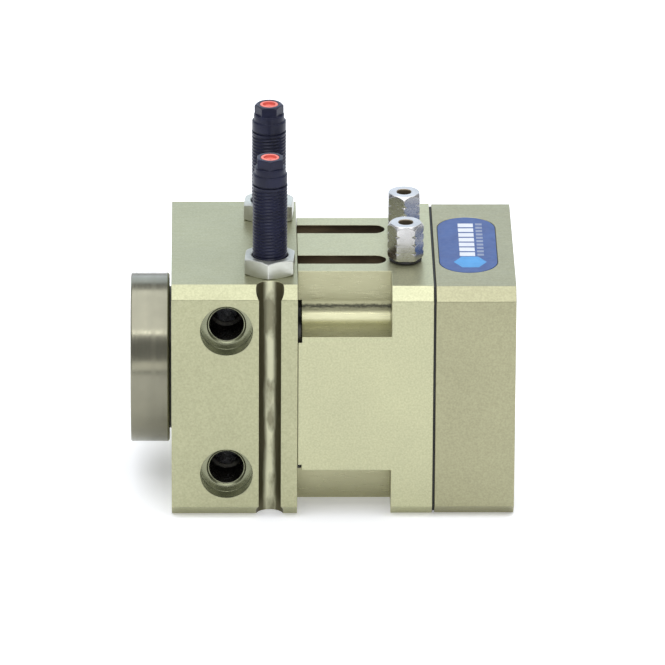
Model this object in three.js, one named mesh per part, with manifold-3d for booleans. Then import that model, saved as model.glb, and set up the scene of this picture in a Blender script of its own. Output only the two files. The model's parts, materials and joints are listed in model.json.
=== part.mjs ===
// Pneumatic gripper with a rack-and-pinion swivel drive.
//
// Millimetres, +Z up. The main axis runs along +X, from the round gripper head, through the swivel housing
// and the gripper cylinder, to the end cover. The origin is the middle of the underside. "Front" is -Y.
//
// How it works: air lifts one of two upright racks, which turn the pinion, the hollow spindle and the head by
// a quarter turn. Shock absorbers above the racks soften the end of the swivel. The gripper piston pushes a
// rod through the spindle, and the rod moves a wedge whose T tongues drive two base jaws apart.

import * as THREE from "three";
import { mergeVertices } from "three/addons/utils/BufferGeometryUtils.js";
import Module from "manifold-3d";

// ---------------------------------------------------------------- driving dimensions

const LENGTH = 110; // whole object along X
const AXIS_HEIGHT = 35.4; // main axis above the underside
const CHAMFER = 3.5; // long edges of the three blocks
const BLOCK_GAP = 0.1; // between blocks that are screwed together
const HEAD_GAP = 0.6; // between the turning head and the housing

const HEAD = { length: 11.2, radius: 24.4, rimChamfer: 0.5 };
const HOUSING = { length: 36, halfWidth: 35.5, top: 35.55 };
const CYLINDER = { length: 38.6, halfWidth: 35.2, top: 35 };
const GASKET = { length: 0.6, inset: 0.5 };
const COVER = { length: 22.8, halfWidth: 35.1, top: 34.85 };

// Sensor grooves, round in section and open to a face.
const GROOVE = { radius: 3.9, axisDepth: 2.37 };

// Swivel drive. "Station" is the distance from the housing's head-side face.
const MOUNT_HOLE = { station: 15.7, height: 22.1, lift: 0.5, counterboreRadius: 7.5, counterboreDepth: 4.6 };
const MOUNT_THREAD = { radius: 5.15, depth: 16.7, throughRadius: 4 };
const GEAR = { module: 1, teeth: 30, width: 5, rootRadius: 13.7, tipRadius: 15.85, backlash: 0.3 };
const PRESSURE_ANGLE = THREE.MathUtils.degToRad(20);
const RACK = { station: 28.1, offset: 20.3, radius: 6.4, boreRadius: 6.6, length: 31.4, headLength: 5.2 };
const RACK_TEETH = { tipPlane: 6.15, rootPlane: 4.05 }; // distances from the rack's own axis
const RACK_BORE_TOP = 24.8; // above the main axis
const RACK_LOWEST = -30.8; // underside of a rack at the bottom of its travel, from the main axis
const SWIVEL_ANGLE = Math.PI / 2;
const PLUG = { radius: 7.4, thickness: 3.6, portRadius: 1.5 };
const BEARING_FRONT = { start: 2, width: 7, bore: 12.5, outside: 18.5, pitch: 15.5, ball: 1.8, balls: 9 };
const BEARING_REAR = { start: 30.9, width: 4, bore: 10, outside: 13.5, pitch: 11.8, ball: 0.6, balls: 8 };
const CAVITY_RADIUS = 16.6; // round the pinion
const SPINDLE = { flangeRadius: 20.5, flangeEnd: 1.5, seatRadius: 11, rodBore: 5, wedgeBore: 9.8, end: 35.4 };
const PINION_FLAT = 9.8; // distance of the driving flat from the spindle's axis

// Shock absorbers, measured upwards from the housing's top face.
const DAMPER = { thread: 5, threadTop: 26.9, collar: 4.9, collarTop: 29.8, neck: 4.375, neckTop: 31.8 };
const DAMPER_HEX = { acrossFlats: 7.3, top: 34.6 };
const DAMPER_OFFSET = 21; // of a shock absorber's axis from the main axis, along Y
const DAMPER_NUT = { acrossFlats: 14, turned: 7.9, height: 5 };
const DAMPER_PLUG = { radius: 2.6, hole: 1.7, thickness: 1.3 };
const DAMPER_ROD = { radius: 1.9, length: 18, reach: 5.8, travel: 5.5 };

// Gripper cylinder. "Station" is the distance from its housing-side face.
const RECESS = { length: 26.7, flat: 20.6, fillet: 5.5 };
const RELIEF = { radius: 8.3, y: 28.6, z: 24, depth: 1.1 };
const TOP_SLOT = { offset: 11.7, end: 22.2 };
const PISTON_BORE = { radius: 16, start: 6 };
const PISTON = { start: 16.7, length: 12, radius: 15.8, stroke: 4 };
const ROD = { radius: 4, spigot: 3, button: 3.6, neck: 2.4 };
const FITTING = { station: 30.9, offset: 11.8, acrossFlats: 9, height: 10.6, hole: 2.15 };
const FITTING_SEAL = { radius: 4.7, thickness: 1 };
const PORT = { radius: 2.5, stem: 2.4, depth: 8 };
const LABEL = { length: 16.9, width: 42.8, thickness: 0.3, margin: 1.2 };
const COVER_SCREW = { offset: 28.5, shank: 2.5, headRadius: 4.2, headHeight: 5, grip: 9 };
const HOUSING_SCREW = { y: 5, z: 24.5, shank: 2, headRadius: 3.5, headHeight: 4, grip: 9 };

// Gripper head. "Depth" is the distance from its outer face.
const JAW_SLOPE = 0.5; // jaw travel for each millimetre of wedge travel
const PLATE = { radius: 21.8, thickness: 2.5 };
const JAW = { near: 2.8, far: 9.6, halfWidth: 6, outer: 17, bossHalfWidth: 4, bossFrom: 9.2, bossTo: 14.8 };
const WEDGE = { near: 6.9, length: 9, halfWidth: 5, noseHeight: 2.2, tongueLength: 7 };
const TONGUE = { neck: 1.5, neckDepth: 1.4, headWidth: 3, headDepth: 2.6 };
const RUNNING = 0.2; // clearance between pieces that slide on each other
const SLIP = 0.1; // clearance between pieces that are fitted together

// ---------------------------------------------------------------- stations of the blocks along X

const HEAD_X = -LENGTH / 2;
const HOUSING_X = HEAD_X + HEAD.length + HEAD_GAP;
const CYLINDER_X = HOUSING_X + HOUSING.length + BLOCK_GAP;
const GASKET_X = CYLINDER_X + CYLINDER.length + BLOCK_GAP / 2;
const COVER_X = GASKET_X + GASKET.length + BLOCK_GAP / 2;
const BOTTOM = -AXIS_HEIGHT; // underside, from the main axis

// ---------------------------------------------------------------- materials

const finish = (color, metalness, roughness) =>
  new THREE.MeshStandardMaterial({ color, metalness, roughness });

const MATERIALS = {
  anodised: finish(0xb8b491, 0.6, 0.45),
  coverAnodised: finish(0x9c9678, 0.6, 0.5),
  head: finish(0x8c8672, 0.8, 0.4),
  steel: finish(0xb9bcbd, 0.9, 0.3),
  nickel: finish(0xc9c6bd, 1, 0.2),
  blackOxide: finish(0x2a2e3a, 0.5, 0.45),
  brass: finish(0xb59a55, 0.9, 0.35),
  rubber: finish(0x1b1b1c, 0, 0.8),
  magnet: finish(0x4a4743, 0.3, 0.7),
  redPlastic: finish(0xc0362c, 0, 0.5),
  label: finish(0x22407c, 0, 0.5),
};

// ---------------------------------------------------------------- solids

const wasm = await Module();
wasm.setup();

// A closed geometry as a solid. Triangles that collapse on an axis are dropped.
function solid(geometry) {
  const bare = geometry.clone();
  bare.deleteAttribute("normal");
  bare.deleteAttribute("uv");
  const merged = mergeVertices(bare, 1e-4);
  const corners = merged.index.array;
  const kept = [];
  for (let i = 0; i < corners.length; i += 3) {
    const [a, b, c] = [corners[i], corners[i + 1], corners[i + 2]];
    if (a !== b && b !== c && c !== a) kept.push(a, b, c);
  }
  const outward = solidOf(merged.attributes.position.array, kept);
  return outward.volume() > 0 ? outward : solidOf(merged.attributes.position.array, kept.reverse());
}

function solidOf(vertProperties, corners) {
  return new wasm.Manifold(
    new wasm.Mesh({ numProp: 3, vertProperties, triVerts: new Uint32Array(corners) }),
  );
}

const join = (first, ...others) => others.reduce((sum, other) => sum.add(other), first);
const cut = (first, ...others) => others.reduce((rest, other) => rest.subtract(other), first);

// Number of sides of a round face. Pieces that fit in each other fall in one class, so their sides line up.
function sidesOf(radius) {
  if (radius > 7) return 28;
  return radius > 4.5 ? 20 : 12;
}

// Turns a geometry whose axis is Y so that its axis is X or Z.
const ontoX = (geometry) => geometry.rotateZ(-Math.PI / 2);
const ontoZ = (geometry) => geometry.rotateX(Math.PI / 2);

function block([x0, x1], [y0, y1], [z0, z1]) {
  const box = new THREE.BoxGeometry(x1 - x0, y1 - y0, z1 - z0);
  return solid(box.translate((x0 + x1) / 2, (y0 + y1) / 2, (z0 + z1) / 2));
}

const plainRod = (radius, from, to) =>
  new THREE.CylinderGeometry(radius, radius, to - from, sidesOf(radius)).translate(0, (from + to) / 2, 0);

const rodX = (radius, [x0, x1], y = 0, z = 0) => solid(ontoX(plainRod(radius, x0, x1)).translate(0, y, z));
const rodY = (radius, [y0, y1], x, z) => solid(plainRod(radius, y0, y1).translate(x, 0, z));
const rodZ = (radius, [z0, z1], x = 0, y = 0) => solid(ontoZ(plainRod(radius, z0, z1)).translate(x, y, 0));

// A turned piece from its closed profile of [distance along the axis, radius] points.
function turned(profile) {
  const widest = Math.max(...profile.map(([, radius]) => radius));
  const points = [...profile, profile[0]].map(([along, radius]) => new THREE.Vector2(radius, along));
  return new THREE.LatheGeometry(points, sidesOf(widest));
}

const turnedX = (profile) => solid(ontoX(turned(profile)));
const turnedZ = (profile, x = 0, y = 0) => solid(ontoZ(turned(profile)).translate(x, y, 0));

const ringX = (inner, outer, [x0, x1]) =>
  turnedX([
    [x0, inner],
    [x0, outer],
    [x1, outer],
    [x1, inner],
  ]);

const ringZ = (inner, outer, [z0, z1], x = 0, y = 0) =>
  turnedZ(
    [
      [z0, inner],
      [z0, outer],
      [z1, outer],
      [z1, inner],
    ],
    x,
    y,
  );

const shapeOf = (outline) => new THREE.Shape(outline.map(([a, b]) => new THREE.Vector2(a, b)));

const extrude = (shape, depth) =>
  new THREE.ExtrudeGeometry(shape, { depth, bevelEnabled: false, curveSegments: 12 });

// Prisms: the outline is [y, z] for X, [x, z] for Y and [x, y] for Z.
function prismX(shape, [x0, x1]) {
  const ontoAxis = new THREE.Matrix4().set(0, 0, 1, x0, 1, 0, 0, 0, 0, 1, 0, 0, 0, 0, 0, 1);
  return solid(extrude(shape, x1 - x0).applyMatrix4(ontoAxis));
}

const prismY = (shape, [y0, y1]) => solid(extrude(shape, y1 - y0).rotateX(Math.PI / 2).translate(0, y1, 0));
const prismZ = (shape, [z0, z1]) => solid(extrude(shape, z1 - z0).translate(0, 0, z0));

// Points of an arc, both ends included.
function arc(centreA, centreB, radius, fromDegrees, toDegrees, steps) {
  return Array.from({ length: steps + 1 }, (_, i) => {
    const angle = THREE.MathUtils.degToRad(fromDegrees + ((toDegrees - fromDegrees) * i) / steps);
    return [centreA + radius * Math.cos(angle), centreB + radius * Math.sin(angle)];
  });
}

// A hexagonal bar along Z, with its corners turned to a radius where one is given.
function hexBar(acrossFlats, [z0, z1], x, y, angle = 0, turnedRadius = Infinity) {
  const corner = acrossFlats / Math.sqrt(3);
  const outline = Array.from({ length: 6 }, (_, i) => {
    const around = angle + (i * Math.PI) / 3;
    return [x + corner * Math.cos(around), y + corner * Math.sin(around)];
  });
  const hex = prismZ(shapeOf(outline), [z0, z1]);
  return turnedRadius < corner ? hex.intersect(rodZ(turnedRadius, [z0, z1], x, y)) : hex;
}

// ---------------------------------------------------------------- scene graph

const root = new THREE.Group();

function assembly(x, parent = root) {
  const group = new THREE.Group();
  group.position.set(x, 0, AXIS_HEIGHT);
  parent.add(group);
  return group;
}

const headGroup = assembly(HEAD_X);
const swivelGroup = assembly(HOUSING_X);
const cylinderGroup = assembly(CYLINDER_X);
const coverGroup = assembly(COVER_X);

function part(name, shape, material, group) {
  const { numProp, vertProperties, triVerts } = shape.getMesh();
  const geometry = new THREE.BufferGeometry();
  geometry.setAttribute("position", new THREE.BufferAttribute(new Float32Array(vertProperties), numProp));
  geometry.setIndex(new THREE.BufferAttribute(new Uint32Array(triVerts), 1));
  geometry.computeVertexNormals();
  const mesh = new THREE.Mesh(geometry, MATERIALS[material]);
  mesh.name = name;
  group.add(mesh);
}

// ---------------------------------------------------------------- blocks

// Section of a block with chamfered long edges.
function blockSection({ halfWidth, top }, chamfer = CHAMFER, inset = 0) {
  const side = halfWidth - inset;
  const high = top - inset;
  const low = BOTTOM + inset;
  return shapeOf([
    [-side, low + chamfer],
    [-side + chamfer, low],
    [side - chamfer, low],
    [side, low + chamfer],
    [side, high - chamfer],
    [side - chamfer, high],
    [-side + chamfer, high],
    [-side, high - chamfer],
  ]);
}

const eachSide = (make) => [-1, 1].flatMap((side) => make(side));
const eachCorner = (make) => eachSide((sideY) => eachSide((sideZ) => make(sideY, sideZ)));

// One stepped mounting hole, the same from the front and from the back.
function mountHole(sideZ) {
  const z = MOUNT_HOLE.lift + sideZ * MOUNT_HOLE.height;
  const x = MOUNT_HOLE.station;
  const face = HOUSING.halfWidth;
  const over = face + 1;
  return [
    rodY(MOUNT_THREAD.throughRadius, [-over, over], x, z),
    ...eachSide((side) => {
      const reach = (depth) => [side * (face - depth), side * over].sort((a, b) => a - b);
      return [
        rodY(MOUNT_HOLE.counterboreRadius, reach(MOUNT_HOLE.counterboreDepth), x, z),
        rodY(MOUNT_THREAD.radius, reach(MOUNT_THREAD.depth), x, z),
      ];
    }),
  ];
}

function swivelHousing() {
  const { length, halfWidth, top } = HOUSING;
  const rearShoulder = 12.2;
  const cavityEnd = BEARING_REAR.start - SLIP;
  const spindleCavity = turnedX([
    [-1, 0],
    [-1, SPINDLE.flangeRadius + 0.5],
    [SPINDLE.flangeEnd + 0.3, SPINDLE.flangeRadius + 0.5],
    [SPINDLE.flangeEnd + 0.3, BEARING_FRONT.outside],
    [BEARING_FRONT.start + BEARING_FRONT.width, BEARING_FRONT.outside],
    [BEARING_FRONT.start + BEARING_FRONT.width, CAVITY_RADIUS],
    [cavityEnd, CAVITY_RADIUS],
    [cavityEnd, BEARING_REAR.outside],
    [BEARING_REAR.start + BEARING_REAR.width, BEARING_REAR.outside],
    [BEARING_REAR.start + BEARING_REAR.width, rearShoulder],
    [length + 1, rearShoulder],
    [length + 1, 0],
  ]);
  const rackBores = eachSide((side) => [
    rodZ(RACK.boreRadius, [BOTTOM - 1, RACK_BORE_TOP], RACK.station, side * RACK.offset),
    rodZ(PLUG.radius + SLIP, [BOTTOM - 1, BOTTOM + PLUG.thickness + 0.2], RACK.station, side * RACK.offset),
    rodZ(DAMPER.thread + SLIP, [0, top + 1], RACK.station, side * DAMPER_OFFSET),
  ]);
  const grooves = eachSide((side) => [
    rodZ(GROOVE.radius, [BOTTOM - 1, top + 1], RACK.station, side * (halfWidth - GROOVE.axisDepth)),
  ]);
  const screwHoles = eachCorner((sideY, sideZ) => [
    rodX(
      HOUSING_SCREW.shank + SLIP,
      [length - HOUSING_SCREW.grip - 0.3, length + 1],
      sideY * HOUSING_SCREW.y,
      sideZ * HOUSING_SCREW.z,
    ),
  ]);
  return cut(
    prismX(blockSection(HOUSING), [0, length]),
    spindleCavity,
    ...rackBores,
    ...grooves,
    ...screwHoles,
    ...eachSide(mountHole),
  );
}

// The space milled away along one long corner of the cylinder body, with a round inner corner.
function cornerRecess(sideY, sideZ) {
  const { flat, fillet, length } = RECESS;
  const beyond = CYLINDER.halfWidth + 2;
  const outline = [
    [flat, beyond],
    ...arc(flat + fillet, flat + fillet, fillet, 180, 270, 8),
    [beyond, flat],
    [beyond, beyond],
  ];
  const placed = outline.map(([y, z]) => [sideY * y, sideZ * z]);
  return prismX(shapeOf(placed), [-1, length]);
}

function topSlot(side) {
  const height = CYLINDER.top - GROOVE.axisDepth;
  const end = new THREE.SphereGeometry(GROOVE.radius, 12, 8);
  return [
    rodX(GROOVE.radius, [-1, TOP_SLOT.end], side * TOP_SLOT.offset, height),
    solid(ontoZ(end).translate(TOP_SLOT.end, side * TOP_SLOT.offset, height)),
  ];
}

// Air ways: the front fitting feeds the cover-side chamber, the rear fitting the housing-side chamber.
function airWays() {
  const { station, offset } = FITTING;
  const galleryHeight = 22.9;
  const farStation = 8.5;
  const galleryRadius = 1.5;
  return [
    rodZ(PORT.radius, [CYLINDER.top - PORT.depth, CYLINDER.top + 1], station, -offset),
    rodZ(PORT.radius, [CYLINDER.top - PORT.depth, CYLINDER.top + 1], station, offset),
    rodZ(galleryRadius, [5, CYLINDER.top], station, -offset),
    rodZ(galleryRadius, [galleryHeight, CYLINDER.top], station, offset),
    rodX(galleryRadius, [farStation, CYLINDER.length + 1], offset, galleryHeight),
    rodZ(galleryRadius, [5, galleryHeight], farStation, offset),
  ];
}

function cylinderBody() {
  const { length } = CYLINDER;
  const bore = turnedX([
    [-1, 0],
    [-1, ROD.radius + 1],
    [0.6, ROD.radius + 1],
    [0.6, 7.4],
    [PISTON_BORE.start, 7.4],
    [PISTON_BORE.start, PISTON_BORE.radius],
    [length + 1, PISTON_BORE.radius],
    [length + 1, 0],
  ]);
  const corners = eachCorner((sideY, sideZ) => [
    cornerRecess(sideY, sideZ),
    rodX(RELIEF.radius, [-1, RELIEF.depth], sideY * RELIEF.y, sideZ * RELIEF.z),
    rodX(
      COVER_SCREW.shank + SLIP,
      [length - COVER_SCREW.grip - 0.3, length + 1],
      sideY * COVER_SCREW.offset,
      sideZ * COVER_SCREW.offset,
    ),
    rodX(HOUSING_SCREW.shank + SLIP, [-1, length + 1], sideY * HOUSING_SCREW.y, sideZ * HOUSING_SCREW.z),
    rodX(
      HOUSING_SCREW.headRadius + SLIP,
      [length - HOUSING_SCREW.headHeight - 0.2, length + 1],
      sideY * HOUSING_SCREW.y,
      sideZ * HOUSING_SCREW.z,
    ),
  ]);
  return cut(
    prismX(blockSection(CYLINDER), [0, length]),
    bore,
    ...corners,
    ...eachSide(topSlot),
    ...airWays(),
  );
}

function coverGasket() {
  const start = -GASKET.length - BLOCK_GAP / 2;
  const sheet = prismX(blockSection(COVER, CHAMFER, GASKET.inset), [start, start + GASKET.length]);
  const holes = eachCorner((sideY, sideZ) => [
    rodX(
      COVER_SCREW.shank + SLIP,
      [start - 1, 1],
      sideY * COVER_SCREW.offset,
      sideZ * COVER_SCREW.offset,
    ),
  ]);
  return cut(sheet, rodX(PISTON_BORE.radius, [start - 1, 1]), ...holes);
}

// Stadium outline with its long way along Y.
function stadium(length, width, centreX) {
  const radius = length / 2;
  const reach = width / 2 - radius;
  return shapeOf([
    ...arc(centreX, reach, radius, 0, 180, 16),
    ...arc(centreX, -reach, radius, 180, 360, 16),
  ]);
}

const LABEL_X = LABEL.margin + LABEL.length / 2;

function endCover() {
  const { length, top } = COVER;
  const spigotRadius = PISTON_BORE.radius - 0.3;
  const spigotLength = 3.5;
  const pocketRadius = 9;
  const screwHoles = eachCorner((sideY, sideZ) => {
    const [y, z] = [sideY * COVER_SCREW.offset, sideZ * COVER_SCREW.offset];
    return [
      rodX(COVER_SCREW.shank + SLIP, [-1, length + 1], y, z),
      rodX(COVER_SCREW.headRadius + 0.3, [length - COVER_SCREW.headHeight - 0.4, length + 1], y, z),
    ];
  });
  return cut(
    join(
      prismX(blockSection(COVER), [0, length]),
      rodX(spigotRadius, [-spigotLength, 1]),
    ),
    prismZ(stadium(LABEL.length, LABEL.width, LABEL_X), [top - LABEL.thickness - 0.05, top + 1]),
    rodX(pocketRadius, [-spigotLength - 1, 8]),
    ...screwHoles,
  );
}

// ---------------------------------------------------------------- fasteners

// A socket-head screw along X, with its head at the +X end.
function capScrewX({ shank, headRadius, headHeight }, length, headFace, y, z) {
  const under = headFace - headHeight;
  const socket = hexPrismX(headRadius * 0.55, [headFace - headHeight * 0.55, headFace + 1], y, z);
  return cut(
    join(rodX(headRadius, [under, headFace], y, z), rodX(shank, [under - length, under + 0.5], y, z)),
    socket,
  );
}

function hexPrismX(corner, span, y, z) {
  const outline = Array.from({ length: 6 }, (_, i) => [
    y + corner * Math.cos((i * Math.PI) / 3),
    z + corner * Math.sin((i * Math.PI) / 3),
  ]);
  return prismX(shapeOf(outline), span);
}

// ---------------------------------------------------------------- gripper head

// Half height of the wedge at a depth in the head, at rest.
const wedgeHeight = (depth) => WEDGE.noseHeight + JAW_SLOPE * (depth - WEDGE.near);

// A band along the wedge's sloping face, between two distances above it, on one side of the axis.
function slopeBand(side, [fromDepth, toDepth], [low, high]) {
  const slant = Math.hypot(1, JAW_SLOPE);
  const at = (depth, rise) => [depth, side * (wedgeHeight(depth) + rise * slant)];
  return shapeOf([at(fromDepth, low), at(toDepth, low), at(toDepth, high), at(fromDepth, high)]);
}

function wedge() {
  const [near, far] = [WEDGE.near, WEDGE.near + WEDGE.length];
  const body = shapeOf([
    [near, -wedgeHeight(near)],
    [far, -wedgeHeight(far)],
    [far, wedgeHeight(far)],
    [near, wedgeHeight(near)],
  ]);
  const tongueSpan = [near, near + WEDGE.tongueLength];
  const tongues = eachSide((side) => [
    prismY(slopeBand(side, tongueSpan, [-0.5, TONGUE.headDepth]), [-TONGUE.neck, TONGUE.neck]),
    prismY(slopeBand(side, tongueSpan, [TONGUE.neckDepth, TONGUE.headDepth]), [
      -TONGUE.headWidth,
      TONGUE.headWidth,
    ]),
  ]);
  const buttonPocket = [BUTTON_DEPTH - RUNNING, BUTTON_DEPTH + BUTTON_LENGTH + RUNNING];
  const pocketRadius = ROD.button + 0.3;
  const neckRadius = ROD.neck + 0.3;
  return cut(
    join(prismY(body, [-WEDGE.halfWidth, WEDGE.halfWidth]), ...tongues),
    rodX(pocketRadius, buttonPocket),
    block(buttonPocket, [0, WEDGE.halfWidth + 1], [-pocketRadius, pocketRadius]),
    rodX(neckRadius, [BUTTON_DEPTH, far + 1]),
    block([BUTTON_DEPTH, far + 1], [0, WEDGE.halfWidth + 1], [-neckRadius, neckRadius]),
  );
}

const BUTTON_DEPTH = 12; // near face of the rod's button, at rest
const BUTTON_LENGTH = 1.5;

function jaw(side) {
  const { near, far, halfWidth, outer, bossHalfWidth, bossFrom, bossTo } = JAW;
  const slant = Math.hypot(1, JAW_SLOPE);
  const inner = (depth) => wedgeHeight(depth) + RUNNING * slant;
  const base = shapeOf([
    [near, side * inner(near)],
    [far, side * inner(far)],
    [far, side * outer],
    [near, side * outer],
  ]);
  const slotSpan = [near - 3, far + 3];
  const slots = [
    prismY(slopeBand(side, slotSpan, [-1, TONGUE.headDepth + RUNNING]), [
      -TONGUE.neck - RUNNING,
      TONGUE.neck + RUNNING,
    ]),
    prismY(slopeBand(side, slotSpan, [TONGUE.neckDepth - RUNNING, TONGUE.headDepth + RUNNING]), [
      -TONGUE.headWidth - RUNNING,
      TONGUE.headWidth + RUNNING,
    ]),
  ];
  const bossSpan = [side * bossFrom, side * bossTo].sort((a, b) => a - b);
  const boss = block([0.2, near + 1], [-bossHalfWidth, bossHalfWidth], bossSpan);
  const fingerHole = rodX(1.25, [-1, 6.5], 0, (side * (bossFrom + bossTo)) / 2);
  return cut(join(prismY(base, [-halfWidth, halfWidth]), boss), ...slots, fingerHole);
}

const PLATE_SCREW = { y: 13.5, z: 11, shank: 1.25, headRadius: 2.4, headHeight: 1.4, grip: 5 };
const DRIVE_SCREW = { y: 15, shank: 1.5, headRadius: 2.7, headHeight: 2.6, grip: 1.8 };
const DRIVE_HEAD_DEPTH = 3; // outer face of the drive screws' heads

// A screw along X with its head at the -X end, in the gripper head.
function headScrew({ shank, headRadius, headHeight, grip }, face, length, y, z) {
  const under = face + headHeight;
  const socket = hexPrismX(headRadius * 0.55, [face - 1, face + headHeight * 0.55], y, z);
  return cut(
    join(rodX(headRadius, [face, under], y, z), rodX(shank, [under - 0.3, under + length + grip], y, z)),
    socket,
  );
}

const PLATE_SCREW_FACE = 0.2;
const plateScrewLength = PLATE.thickness - PLATE_SCREW.headHeight - PLATE_SCREW_FACE;
const driveScrewLength = HEAD.length - DRIVE_HEAD_DEPTH - DRIVE_SCREW.headHeight;

function headBody() {
  const { length, radius, rimChamfer } = HEAD;
  const disc = turnedX([
    [0, 0],
    [0, radius - rimChamfer],
    [rimChamfer, radius],
    [length - rimChamfer, radius],
    [length, radius - rimChamfer],
    [length, 0],
  ]);
  const guideReach = JAW.outer + JAW_SLOPE * PISTON.stroke + 0.5;
  const guideWidth = JAW.halfWidth + RUNNING;
  const screwHoles = eachSide((side) => [
    rodX(
      PLATE_SCREW.shank + SLIP,
      [1, PLATE.thickness + PLATE_SCREW.grip + 0.3],
      side * PLATE_SCREW.y,
      side * PLATE_SCREW.z,
    ),
    rodX(DRIVE_SCREW.shank + SLIP, [1, length + 1], side * DRIVE_SCREW.y),
    rodX(
      DRIVE_SCREW.headRadius + SLIP,
      [1, DRIVE_HEAD_DEPTH + DRIVE_SCREW.headHeight],
      side * DRIVE_SCREW.y,
    ),
  ]);
  return cut(
    disc,
    rodX(PLATE.radius + RUNNING, [-1, PLATE.thickness + SLIP]),
    block([-1, JAW.far + RUNNING], [-guideWidth, guideWidth], [-guideReach, guideReach]),
    rodX(SPINDLE.wedgeBore, [1, length + 1]),
    ...screwHoles,
  );
}

function headPlate() {
  const travel = JAW_SLOPE * PISTON.stroke;
  const slotWidth = JAW.bossHalfWidth + RUNNING;
  const openings = eachSide((side) => {
    const reach = [side * (JAW.bossFrom - RUNNING), side * (JAW.bossTo + travel + RUNNING)];
    return [
      block([-1, PLATE.thickness + 1], [-slotWidth, slotWidth], reach.sort((a, b) => a - b)),
      rodX(PLATE_SCREW.shank + SLIP, [-1, PLATE.thickness + 1], side * PLATE_SCREW.y, side * PLATE_SCREW.z),
      rodX(
        PLATE_SCREW.headRadius + SLIP,
        [-1, PLATE_SCREW_FACE + PLATE_SCREW.headHeight],
        side * PLATE_SCREW.y,
        side * PLATE_SCREW.z,
      ),
    ];
  });
  return cut(rodX(PLATE.radius, [0, PLATE.thickness]), ...openings);
}

part("head_body", headBody(), "head", headGroup);
part("head_plate", headPlate(), "head", headGroup);
part("wedge", wedge(), "steel", headGroup);
part("jaw_upper", jaw(1), "steel", headGroup);
part("jaw_lower", jaw(-1), "steel", headGroup);
[-1, 1].forEach((side, i) => {
  const [plateY, plateZ] = [side * PLATE_SCREW.y, side * PLATE_SCREW.z];
  const plateScrew = headScrew(PLATE_SCREW, PLATE_SCREW_FACE, plateScrewLength, plateY, plateZ);
  const driveScrew = headScrew(DRIVE_SCREW, DRIVE_HEAD_DEPTH, driveScrewLength, side * DRIVE_SCREW.y, 0);
  part("head_plate_screw_" + (i + 1), plateScrew, "blackOxide", headGroup);
  part("head_drive_screw_" + (i + 1), driveScrew, "blackOxide", headGroup);
});

// ---------------------------------------------------------------- spindle, pinion and bearings

function spindle() {
  const { flangeRadius, flangeEnd, seatRadius, rodBore, wedgeBore, end } = SPINDLE;
  const shoulder = BEARING_FRONT.bore + 1.5;
  const frontSeatEnd = BEARING_FRONT.start + BEARING_FRONT.width + SLIP;
  const rearSeatStart = BEARING_REAR.start - SLIP;
  const blank = turnedX([
    [-HEAD_GAP, wedgeBore],
    [-HEAD_GAP, flangeRadius],
    [flangeEnd, flangeRadius],
    [flangeEnd, shoulder],
    [BEARING_FRONT.start, shoulder],
    [BEARING_FRONT.start, BEARING_FRONT.bore - SLIP],
    [frontSeatEnd, BEARING_FRONT.bore - SLIP],
    [frontSeatEnd, seatRadius],
    [rearSeatStart, seatRadius],
    [rearSeatStart, BEARING_REAR.bore - SLIP],
    [end, BEARING_REAR.bore - SLIP],
    [end, rodBore],
    [5, rodBore],
    [5, wedgeBore],
  ]);
  const flatSpan = [RACK.station - GEAR.width / 2 - SLIP, rearSeatStart + SLIP];
  const screwHoles = eachSide((side) => [
    rodX(DRIVE_SCREW.shank + SLIP, [-1, flangeEnd + 1], side * DRIVE_SCREW.y, 0),
  ]);
  return cut(blank, block(flatSpan, [-seatRadius, seatRadius], [PINION_FLAT, seatRadius + 1]), ...screwHoles);
}

// Half the angle that a tooth of the pinion takes at a radius, on its involute flank.
function toothHalfAngle(radius) {
  const pitchRadius = (GEAR.module * GEAR.teeth) / 2;
  const baseRadius = pitchRadius * Math.cos(PRESSURE_ANGLE);
  const involute = (angle) => Math.tan(angle) - angle;
  const pitchThickness = (Math.PI * GEAR.module - GEAR.backlash) / 2;
  const flankAngle = Math.acos(Math.min(1, baseRadius / radius));
  return pitchThickness / (2 * pitchRadius) + involute(PRESSURE_ANGLE) - involute(flankAngle);
}

// Outline of the pinion. It has teeth only on the two quarters that ever meet the racks.
function pinionShape() {
  const { teeth, rootRadius, tipRadius } = GEAR;
  const pitch = (2 * Math.PI) / teeth;
  const perQuarter = Math.ceil(teeth / 4);
  const levels = [rootRadius, 14.6, 15.3, tipRadius];
  const outline = [];
  const at = (radius, angle) => outline.push([radius * Math.cos(angle), radius * Math.sin(angle)]);
  for (let index = 0; index < teeth; index += 1) {
    const centre = index * pitch;
    const toothed = index % (teeth / 2) === 0 || index % (teeth / 2) > teeth / 2 - perQuarter;
    if (toothed) {
      levels.forEach((radius) => at(radius, centre - toothHalfAngle(radius)));
      [...levels].reverse().forEach((radius) => at(radius, centre + toothHalfAngle(radius)));
    } else {
      at(rootRadius, centre);
    }
  }
  return shapeOf(outline);
}

function pinionGear() {
  const span = [RACK.station - GEAR.width / 2, RACK.station + GEAR.width / 2];
  const over = [span[0] - 1, span[1] + 1];
  const seat = SPINDLE.seatRadius + SLIP;
  const bore = cut(
    rodX(seat, over),
    block([over[0] - 1, over[1] + 1], [-seat, seat], [PINION_FLAT + SLIP, seat + 1]),
  );
  return cut(prismX(pinionShape(), span), bore);
}

// One ring of a bearing: a plain face towards its seat, and a ball groove towards the balls.
function bearingRing({ start, width, pitch, ball }, seatRadius, landRadius) {
  const middle = start + width / 2;
  const towardsBalls = Math.sign(pitch - landRadius);
  const grooveRadius = pitch - towardsBalls * (ball + 0.25);
  const cutsIn = towardsBalls * (landRadius - grooveRadius) > 0;
  const groove = [
    [middle + ball, landRadius],
    [middle + ball / 2, grooveRadius],
    [middle - ball / 2, grooveRadius],
    [middle - ball, landRadius],
  ];
  return turnedX([
    [start, seatRadius],
    [start + width, seatRadius],
    [start + width, landRadius],
    ...(cutsIn ? groove : []),
    [start, landRadius],
  ]);
}

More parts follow.
